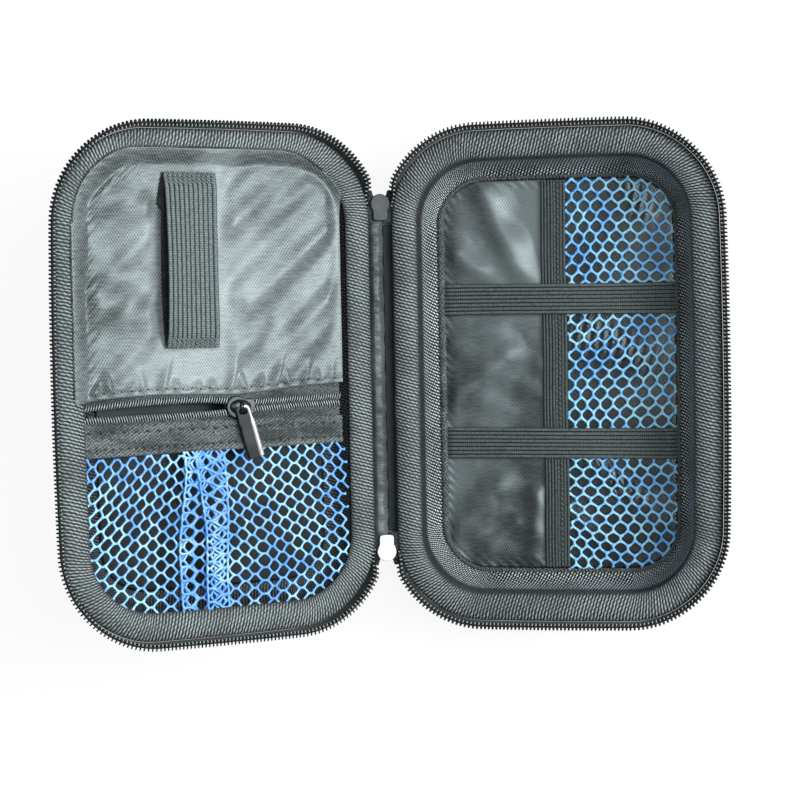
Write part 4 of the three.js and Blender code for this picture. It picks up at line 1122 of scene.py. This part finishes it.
def satin_shadow_line_form():
    """Dark cord along the edge of the satin on the slope of the roll: a painted shadow of the roll's inner
    slope.
    """
    x = SATIN_LEFT + (46 - SATIN_LEFT) * (1 - np.cos(spread(300) * math.pi / 2)) ** 1.4
    side = stacked(SATIN_LEFT - 0.3, np.linspace(-4, 54, 120))
    line = np.concatenate([side, stacked(x - 0.2, satin_top(x) + 0.3)])
    reach = run_length(line)
    even = np.linspace(0, reach[-1], 420)
    x, y = np.interp(even, reach, line[:, 0]), np.interp(even, reach, line[:, 1])
    path = stacked(x, y, roll_clearance(lid_inset(x, y)) - 0.15)
    return Form().tubes(path[None], 0.45, 8, flatten=0.6, sizes=(float(reach[-1]), 3.0))


def dashes(form, starts, ends, lift, wire):
    """Short sewn stitches from starts to ends, arched over the cloth."""
    share = spread(6)
    paths = starts[:, None] + (ends - starts)[:, None] * share[:, None]
    paths[..., 2] += lift * arch(share)
    form.tubes(paths, wire * (0.4 + 0.6 * arch(share)), 5)


HEM_PITCH = 3.6
HEM_HEIGHT = 2.2


def hem_stitch_form(shift, length, wire):
    """One row of stitches along the hem, or of the dark dashes between them, which are painted shade in the
    pits there.
    """
    x = np.arange(-54 + shift, SATIN_RIGHT - 2, HEM_PITCH)
    y = satin_edge(x) + HEM_HEIGHT + 0.2 * np.sin(x)
    starts = stacked(x, y, SATIN_FOOT + 0.45 + satin_puckers(x, y))
    form = Form()
    dashes(form, starts, starts + [length, 0.12, 0], lift=0.3, wire=wire)
    return form


piece("lid_satin_cloth", satin_form(), "lid", "light_satin", ["lid_satin_panel"], 0.3)
# painted shadow where the satin meets the roll
piece("lid_satin_painted_shadow", satin_shadow_line_form(), "lid", "pocket_tape_twill")
piece("lid_hem_stitches", hem_stitch_form(0, 2.3, 0.26), "lid", "pale_thread")
# painted shade in the pits between the hem stitches
piece("lid_hem_pit_shade", hem_stitch_form(2.55, 0.8, 0.34), "lid", "dark_thread")


# Elastic loop on the satin
LOOP_LEFT = -22
LOOP_WIDTH = 22
LOOP_BOTTOM = 14.5
LOOP_TOP = 83
LOOP_FOOT = 13.2

# First and last row of the bars, and the number of frayed threads, at each end
TACK_ROWS = {"top": (79, 82), "bottom": (15.2, 17.6)}
FRAYED = ((LOOP_TOP, 1, 60), (LOOP_BOTTOM, -1, 34))


def loop_share(y):
    return np.clip((y - LOOP_BOTTOM) / (LOOP_TOP - LOOP_BOTTOM), 0, 1)


def loop_lean(across, y):
    """How far the left edge stands up from the satin, most in the lower half."""
    return 5.0 * smooth(across, 13, 0) * arch(loop_share(y) ** 0.75)


def loop_height(across, y):
    """Arched along its length, its left edge standing off the satin."""
    share = loop_share(y)
    raised = smooth(share, 0, 0.1) * smooth(share, 1, 0.9)
    return LOOP_FOOT + 0.95 + 1.4 * raised + loop_lean(across, y)


def loop_form():
    """Ribbed elastic, drawn in a little at its waist."""
    u = np.linspace(0, LOOP_WIDTH, 121)[:, None]
    v = np.linspace(LOOP_BOTTOM, LOOP_TOP, 190)
    waist = 0.7 * arch(loop_share(v))
    x = LOOP_LEFT + u + waist * (1 - u / LOOP_WIDTH * 1.4) - 0.3 * loop_lean(u, v)
    depth = 0.45 * smooth(u, 16, 6) + 0.1 + 0.3 * smooth(u, 19, 21)
    rib = depth * ribbed(u, LOOP_RIB)
    fuzz = chance.normal(0, 0.03, x.shape)
    return Form().grid(stacked(x, v, loop_height(u, v) + rib + fuzz), stacked(v, u))


def tack_form(low, high):
    """Back-and-forth bar of zigzag stitches over the end of the loop."""
    form = Form()
    for row in np.linspace(low, high, 3):
        x = np.arange(LOOP_LEFT + 0.3, LOOP_LEFT + LOOP_WIDTH - 0.8, 1.0)
        swing = np.where(np.arange(len(x)) % 2, 0.75, -0.75)
        y = row + swing + chance.uniform(-0.2, 0.2, len(x))
        z = loop_height(x - LOOP_LEFT, y) + 0.5 + chance.uniform(0, 0.12, len(x))
        points = stacked(x, y, z)
        dashes(form, points[:-1], points[1:], lift=0.2, wire=0.24)
    return form


def fray_form():
    """Cut ends of the elastic: short loose threads."""
    form = Form()
    share = spread(8)
    for edge, out, count in FRAYED:
        x = LOOP_LEFT + chance.uniform(0.2, LOOP_WIDTH - 0.2, count)
        reach = chance.uniform(0.5, 2.0, count) * out
        drift = chance.uniform(-1.2, 1.2, count)
        x, reach, drift = x[:, None], reach[:, None], drift[:, None]
        z = loop_height(x - LOOP_LEFT, edge) + 0.3 + 0.5 * np.sin(share * 3 + drift)
        path = stacked(x + drift * share**2, edge - 0.5 * out + reach * share, z)
        form.tubes(path, 0.13 * (1.1 - share), 4)
    return form


def loop_fold_form():
    """The dark end of the elastic turned under at the upper left."""
    u = spread(16)[:, None]
    v = spread(40)
    out = 3.0 * smooth(v, 0, 0.3) * (1 - v) ** 0.8
    x = LOOP_LEFT - out * (1 - u) + 0.4 * u
    points = stacked(x, LOOP_TOP - 16 + 15 * v, LOOP_FOOT + 0.35 + 1.2 * u)
    return Form().grid(points, stacked(14 * v, 3 * u))


def loop_shadow_sheet_form():
    """Dark sheet on the satin that shows beside the upper layer of the loop: a painted shadow, shaped like a
    lower layer of the elastic.
    """
    u = spread(30)[:, None]
    v = spread(90)
    shown = 1.1 * arch(v**0.75)
    x = LOOP_LEFT - shown + (LOOP_WIDTH - 3 + shown) * u
    y = LOOP_BOTTOM + 1 + (LOOP_TOP - LOOP_BOTTOM - 3) * v
    return Form().grid(stacked(x, y, LOOP_FOOT + 0.1 - 0.3 * arch(v)), stacked(y, x))


# painted shadow beside the raised left edge of the loop
piece("loop_painted_shadow_sheet", loop_shadow_sheet_form(), "lid", "rim_tape_twill", thickness=0.4)
piece("lid_loop_elastic", loop_form(), "lid", "loop_elastic", ["lid_elastic_loop"], 0.7)
for end, rows in TACK_ROWS.items():
    nodes = [f"loop_bar_tack_{end}"]
    piece(f"loop_tack_{end}_stitches", tack_form(*rows), "lid", "pale_thread", nodes)
piece("loop_frayed_threads", fray_form(), "lid", "pale_thread")
piece("loop_folded_end", loop_fold_form(), "lid", "rim_tape_twill", thickness=0.5)


# Pocket zip, half open
ZIP_LINE = -9.4
ZIP_START_X = -55.5
ZIP_END_X = 52.3
POCKET_PITCH = 1.05
TAPE_TOP = 12.6
CHAIN_HALF = 1.2
HEADER_TOP = -14.6
HEADER_LEFT = -55.5
HEADER_RIGHT = 53.4
HEADER_LEVEL = 13.0
UPPER_SEAM = 0.24
LOWER_SEAM = 0.76
LOWER_TAPE_FOOT = -15.2
UPPER_LINE = [(-57, -8.2), (-47, -7.2), (-28, -6.1), (-9, -5.9), (2.5, -6.6), (8, -7.6)]
UPPER_LINE += [(14.5, -7.8), (33, -7.2), (54, -6.6)]
LOWER_LINE = [(-57, -12.6), (-50, -12.6), (-29, -12.4), (-10, -12.0), (2.5, -11.5), (8, -10.9)]
LOWER_LINE += [(14.5, -10.4), (33, -9.8), (54, -9.2)]


def chain_line(corners, x):
    line = rounded(corners, 3, False)
    return np.interp(x, line[:, 0], line[:, 1])


def pocket_coil_form(corners, side):
    """Slanted strokes of the wound filament on one side of the pocket zip."""
    x = np.arange(ZIP_START_X, ZIP_END_X, POCKET_PITCH) + (0.5 * POCKET_PITCH if side > 0 else 0)
    share = spread(8)
    across = (2 * share - 1) * CHAIN_HALF
    y = chain_line(corners, x)[:, None] + across
    path = stacked(x[:, None] + 0.32 * side * across, y, TAPE_TOP + 0.55 + 0.3 * arch(share))
    return Form().tubes(path, 0.31 * (0.55 + 0.45 * arch(share) ** 0.5), 8)


def pocket_core_form(corners):
    """Dark cord inside the wound filament."""
    x = np.linspace(ZIP_START_X, ZIP_END_X, 240)
    path = stacked(x, chain_line(corners, x), TAPE_TOP + 0.2)
    return Form().tubes(path[None], 1.15, 12, flatten=0.4, sizes=(108, 6))


def pocket_tape_form(corners, side, far):
    """Tape from the wound filament to its far edge, which dips under the hem."""
    x = np.linspace(ZIP_START_X, ZIP_END_X, 220)[:, None]
    near = chain_line(corners, x) - side * 0.9
    share = spread(14)[::side]
    y = near + (far(x) - near) * share
    covered = smooth(y - satin_edge(x), -0.6, 1.2)
    z = TAPE_TOP - 0.05 + 0.12 * np.sin(x / 3 + 2 * share) - 0.9 * covered
    return draped(x, y, z)


def upper_tape_edge(x):
    return np.maximum(satin_edge(x) + 0.4, -3.4 + 3.4 * lid_share(x))


def lower_tape_edge(x):
    return np.full_like(x, LOWER_TAPE_FOOT)


def header_form():
    """Webbing with a folded lower edge."""
    x = np.linspace(HEADER_LEFT, HEADER_RIGHT, 260)[:, None]
    share = np.linspace(1, 0, 44)
    y = HEADER_TOP + (header_foot(x) - HEADER_TOP) * share
    seam = -0.35 * bell(share, UPPER_SEAM, 0.05) - 0.35 * bell(share, LOWER_SEAM, 0.045)
    fold = 0.45 * smooth(share, 0.83, 0.86) - 0.7 * smooth(share, 0.95, 1)
    z = HEADER_LEVEL + 0.3 * np.sin(x / 11) * share + seam + fold
    return draped(x, y, z)


def header_stitch_form():
    form = Form()
    for share, pitch, length in ((UPPER_SEAM, 4.7, 1.9), (LOWER_SEAM, 3.2, 1.2)):
        x = np.arange(-54.5, 52, pitch)
        y = HEADER_TOP + (header_foot(x) - HEADER_TOP) * share
        starts = stacked(x, y, 12.9 + 0.3 * np.sin(x / 11) * share)
        dashes(form, starts, starts + [length, 0.1, 0], lift=0.25, wire=0.36)
    return form


ROWS = {"upper": (UPPER_LINE, 1, upper_tape_edge), "lower": (LOWER_LINE, -1, lower_tape_edge)}
for row, (corners, *_) in ROWS.items():
    piece(f"pocket_coil_{row}_core", pocket_core_form(corners), "lid", "seam_twill")
for row, (corners, side, _) in ROWS.items():
    teeth = pocket_coil_form(corners, side)
    nodes = [f"pocket_zip_coil_{row}"]
    piece(f"pocket_coil_{row}_teeth", teeth, "lid", "pocket_nylon", nodes)
for row, (corners, side, far) in ROWS.items():
    tape = pocket_tape_form(corners, side, far)
    nodes = [f"pocket_zip_tape_{row}"]
    piece(f"pocket_tape_{row}_cloth", tape, "lid", "pocket_tape_twill", nodes, 0.35)
piece("lid_header_webbing", header_form(), "lid", "header_twill", ["lid_net_header"], 0.5)
piece("lid_header_stitches", header_stitch_form(), "lid", "dark_thread")


# Sliders and pull tabs
def plate(outline, thickness, edge, holes=(), rounds=2):
    """A flat plate with rounded edges, from its outline and holes, about z zero."""
    curve = bpy.data.curves.new("plate", "CURVE")
    curve.dimensions = "2D"
    curve.fill_mode = "BOTH"
    curve.extrude = thickness / 2 - edge
    curve.bevel_depth = edge
    curve.bevel_resolution = 3
    curve.offset = -edge
    for points, turns in ((outline, rounds), *((hole, 2) for hole in holes)):
        line = rounded(points, turns, True)
        spline = curve.splines.new("POLY")
        spline.points.add(len(line) - 1)
        spline.points.foreach_set("co", stacked(*line.T, 0, 1).ravel())
        spline.use_cyclic_u = True
    holder = bpy.data.objects.new("plate", curve)
    mesh = bpy.data.meshes.new_from_object(holder)
    points = np.zeros(len(mesh.vertices) * 3)
    mesh.vertices.foreach_get("co", points)
    mesh.calc_loop_triangles()
    faces = np.zeros(len(mesh.loop_triangles) * 3, np.int32)
    mesh.loop_triangles.foreach_get("vertices", faces)
    bpy.data.objects.remove(holder)
    bpy.data.meshes.remove(mesh)
    bpy.data.curves.remove(curve)
    return points.reshape(-1, 3), faces.reshape(-1, 3)


def add_plate(form, made, move):
    points, faces = made
    matrix = np.array(move)
    placed = points @ matrix[:3, :3].T + matrix[:3, 3]
    form.add(placed, faces, placed[:, :2][faces])


def slider_outline(length, width, tail):
    """Round head toward +Y, narrower tail toward -Y."""
    half, head, neck = length / 2, width / 2, tail / 2
    turn = np.linspace(-0.6, math.pi + 0.6, 11)
    round_head = [(head * math.cos(a), half - head + head * math.sin(a)) for a in turn]
    foot = [(-neck, -half * 0.8), (-neck * 0.8, -half), (neck * 0.8, -half), (neck, -half * 0.8)]
    return [*foot, (neck * 0.96, -half * 0.3), *round_head, (-neck * 0.96, -half * 0.3)]


# Length, width, width of the tail, height of the channel and turn of the bail in degrees
MAIN_SLIDER = (11, 8, 6, 1.9, 90)
POCKET_SLIDER = (12.4, 9, 6.4, 1.7, 0)
MAIN_BAIL = 4.25
POCKET_BAIL = 4.05
SLIDER_Y = 70
SLIDER_X = 8.5
SLIDER_FOOT = 11.0
DOME_FOOT = 3.35
POCKET_PULL_TURN = 16
POCKET_PULL_DIP = 2


def slider_form(length, width, tail, channel, bail_turn):
    """Two plates on a post and a pill-shaped crown."""
    form = Form()
    flat = slider_outline(length, width, tail)
    post = [(-0.8, -1.6), (0.8, -1.6), (0.8, 1.6), (-0.8, 1.6)]
    add_plate(form, plate(flat, 0.85, 0.3), moved(0, 0, 0.4))
    add_plate(form, plate(flat, 0.95, 0.38), moved(0, 0, 1.25 + channel))
    add_plate(form, plate(post, channel + 0.8, 0.2), moved(0, length * 0.3, 0.8 + channel / 2))
    share = spread(25)
    rise = 1.6 + channel - 0.35 + 1.65 * arch(share) ** 0.6
    crown = stacked(-np.cos(share * math.pi) * 2.0, 0, rise)
    spin = np.array(turned(bail_turn, "Z"))[:3, :3]
    wire = 0.42 + 0.12 * arch(share)
    return form.tubes((crown @ spin.T)[None], wire, 10, up=tuple(spin @ [0, 1, 0]), flatten=1.9)


def slider_dome_form(height):
    """Oval swelling on the upper plate, under the bail."""
    reach = np.linspace(0.02, 1, 14)[:, None]
    turn = np.arange(36) * TURN / 36
    x = 3.0 * reach * np.cos(turn)
    y = 4.6 * reach * np.sin(turn) + 0.3
    z = height + 1.1 * np.sqrt(np.maximum(1 - reach**2.4, 0))
    marks = stacked(x, y)
    return Form().grid(stacked(x, y, z), np.concatenate([marks, marks[:, :1]], 1), wrap_columns=True)


PULL_LENGTH = 22
PULL_HALF = 3.3
NECK_HALF = 3.0
PULL_TOP = 0.5
PULL_THICKNESS = 1.1
PULL_EDGE = 0.28


def pull_form():
    """Flat tab with a rounded eye, a pressed middle and a raised edge."""
    end = PULL_TOP - PULL_LENGTH
    left = [
        (-PULL_HALF + 0.6, end),
        (-PULL_HALF, end + 0.6),
        (-PULL_HALF, PULL_TOP - 6.2),
        (-NECK_HALF, PULL_TOP - 4.4),
    ]
    top = [(-NECK_HALF, PULL_TOP - 0.2), (-NECK_HALF + 0.8, PULL_TOP)]
    outline = [*top, *((-x, y) for x, y in reversed(top)), *((-x, y) for x, y in reversed(left)), *left]
    eye = [(-1.7, -0.5), (1.7, -0.5), (1.7, -3.0), (-1.7, -3.0)]
    form = Form()
    add_plate(form, plate(outline, PULL_THICKNESS, PULL_EDGE, [eye]), Matrix.Identity(4))
    inner, outer = PULL_HALF - 0.9, PULL_HALF - 0.15
    rail = [(inner, -6.4), (outer, -6.9), (outer, end + 0.9), (inner, end + 0.9)]
    for mirror in (1, -1):
        side = [(x * mirror, y) for x, y in rail]
        add_plate(form, plate(side, 0.5, 0.2, rounds=1), moved(0, 0, 0.6))
    return form


def pull_highlight_form():
    """Painted highlight: a bright strip of metal along one side of a tab and round its eye."""
    edge = PULL_HALF - 0.7
    line = [(-0.4, -0.1), (1.4, -0.1), (2.3, -0.9), (2.4, -4.0), (edge, -6.2), (edge, 0.9 - PULL_LENGTH)]
    line = rounded(line, 2, False)
    wide = np.where(line[:, 1] < -5.5, 1.05, 0.65)
    form = Form().tubes(stacked(*line.T, 0.62)[None], wide, 10, flatten=0.45, sizes=(PULL_LENGTH, 4))
    return form.cap(form.points[0][-10:], flip=True)


def main_slider(name, side, body_metal):
    """Slider at one end of the spine, and its pull tab hanging from the bail."""
    carrier = SPINE @ moved(-SPINE_WIDTH / 2, side * SLIDER_Y, 0)
    carrier = carrier @ turned(180 if side > 0 else 0, "Z") @ turned(180, "X")
    form = slider_form(*MAIN_SLIDER)
    nodes = [f"{name}_slider_body"]
    piece(f"{name}_slider_metal", form, "spine", body_metal, nodes, place=carrier)
    hung = carrier @ moved(0, 0, MAIN_BAIL) @ turned(-90, "X")
    nodes = [f"{name}_slider_pull"]
    piece(f"{name}_pull_metal", pull_form(), f"{name}_pull", "pull_metal", nodes, place=hung)


def pocket_slider():
    """Slider of the pocket zip with its dome, and its pull tab."""
    carrier = LID @ moved(SLIDER_X, ZIP_LINE, SLIDER_FOOT)
    lying = carrier @ turned(90, "Z")
    form = slider_form(*POCKET_SLIDER)
    body, nodes = "pocket_slider", ["pocket_slider_body"]
    piece("pocket_slider_metal", form, body, "gun_metal", nodes, place=lying)
    piece("pocket_slider_dome", slider_dome_form(DOME_FOOT), body, "gun_metal", place=lying)
    hung = carrier @ moved(0, 0, POCKET_BAIL) @ turned(POCKET_PULL_TURN, "Z")
    hung = hung @ turned(POCKET_PULL_DIP, "X")
    body, nodes = "pocket_pull", ["pocket_slider_pull"]
    piece("pocket_pull_metal", pull_form(), body, "pull_metal", nodes, place=hung)
    # painted highlight along one side of the pull
    piece("pocket_pull_painted_highlight", pull_highlight_form(), body, "silver_metal", place=hung)


main_slider("rear", 1, "dark_metal")
# painted reflection: the front slider is pale
main_slider("front", -1, "bright_metal")
pocket_slider()


# Floor, light and camera
FLOOR_HALF = 6.0
FLOOR_WHITE = 0.92
FLOOR_GLOW = 1.08
GLOW_SHARE = 0.83
WORLD_LIGHT = 0.28

# Place, target, width and power of each lamp
LAMPS = {
    "key": ((1.0, 0.18, 0.76), (-0.03, 0, 0), 0.6, 14),
    "top": ((0.45, 0.16, 1.15), (0, 0, 0), 0.7, 5),
}
SENSOR_WIDTH = 36
PICTURE_PIXELS = 800
FOCAL_PIXELS = 1900.4
CAMERA_PLACE = (0.0758, 0.0234, 0.7989)
CAMERA_TURN = turned(-1.16, "Z") @ turned(10.27, "Y") @ turned(-2.59, "X")


def stage_floor():
    """White floor that also glows a little toward the camera and in reflections."""
    mesh = bpy.data.meshes.new("floor")
    corners = [(x * FLOOR_HALF, y * FLOOR_HALF, 0) for x, y in ((-1, -1), (1, -1), (1, 1), (-1, 1))]
    mesh.from_pydata(corners, [], [(0, 1, 2, 3)])
    made = linked("floor", mesh)
    paint = bpy.data.materials.new("floor_white")
    paint.use_nodes = True
    mesh.materials.append(paint)
    build = Nodes(paint.node_tree)
    build.tree.nodes.clear()
    matt = build.node("ShaderNodeBsdfDiffuse", {"Color": tone(FLOOR_WHITE, FLOOR_WHITE, FLOOR_WHITE)})
    glow = build.node("ShaderNodeEmission", {"Strength": FLOOR_GLOW})
    rays = build.node("ShaderNodeLightPath").outputs
    seen = build.math("MAXIMUM", rays["Is Camera Ray"], rays["Is Glossy Ray"])
    parts = {0: build.times(seen, GLOW_SHARE), 1: matt.outputs[0], 2: glow.outputs[0]}
    mix = build.node("ShaderNodeMixShader", parts)
    build.node("ShaderNodeOutputMaterial", {"Surface": mix.outputs[0]})


def lamp(name, place, target, size, power):
    data = bpy.data.lights.new(name, "AREA")
    data.shape = "DISK"
    data.size = size
    data.energy = power
    made = linked(name, data)
    made.location = place
    made.rotation_euler = (Vector(target) - Vector(place)).normalized().to_track_quat("-Z", "Y").to_euler()


def studio():
    world = bpy.data.worlds.new("studio")
    world.use_nodes = True
    build = Nodes(world.node_tree)
    rays = build.node("ShaderNodeLightPath").outputs
    levels = {"Value": rays["Is Camera Ray"], "To Min": WORLD_LIGHT, "To Max": 1.0}
    level = build.node("ShaderNodeMapRange", levels)
    background = build.tree.nodes["Background"]
    build.feed(background.inputs["Strength"], level.outputs["Result"])
    build.feed(background.inputs["Color"], tone(1, 1, 1))
    bpy.context.scene.world = world
    for name, values in LAMPS.items():
        lamp(name, *values)


def photo_camera():
    data = bpy.data.cameras.new("camera")
    data.sensor_width = SENSOR_WIDTH
    data.lens = SENSOR_WIDTH * FOCAL_PIXELS / PICTURE_PIXELS
    data.clip_start = 0.01
    made = linked("camera", data)
    made.matrix_world = moved(*CAMERA_PLACE) @ CAMERA_TURN
    bpy.context.scene.camera = made


stage_floor()
studio()
photo_camera()
bpy.context.scene.view_settings.view_transform = "Standard"
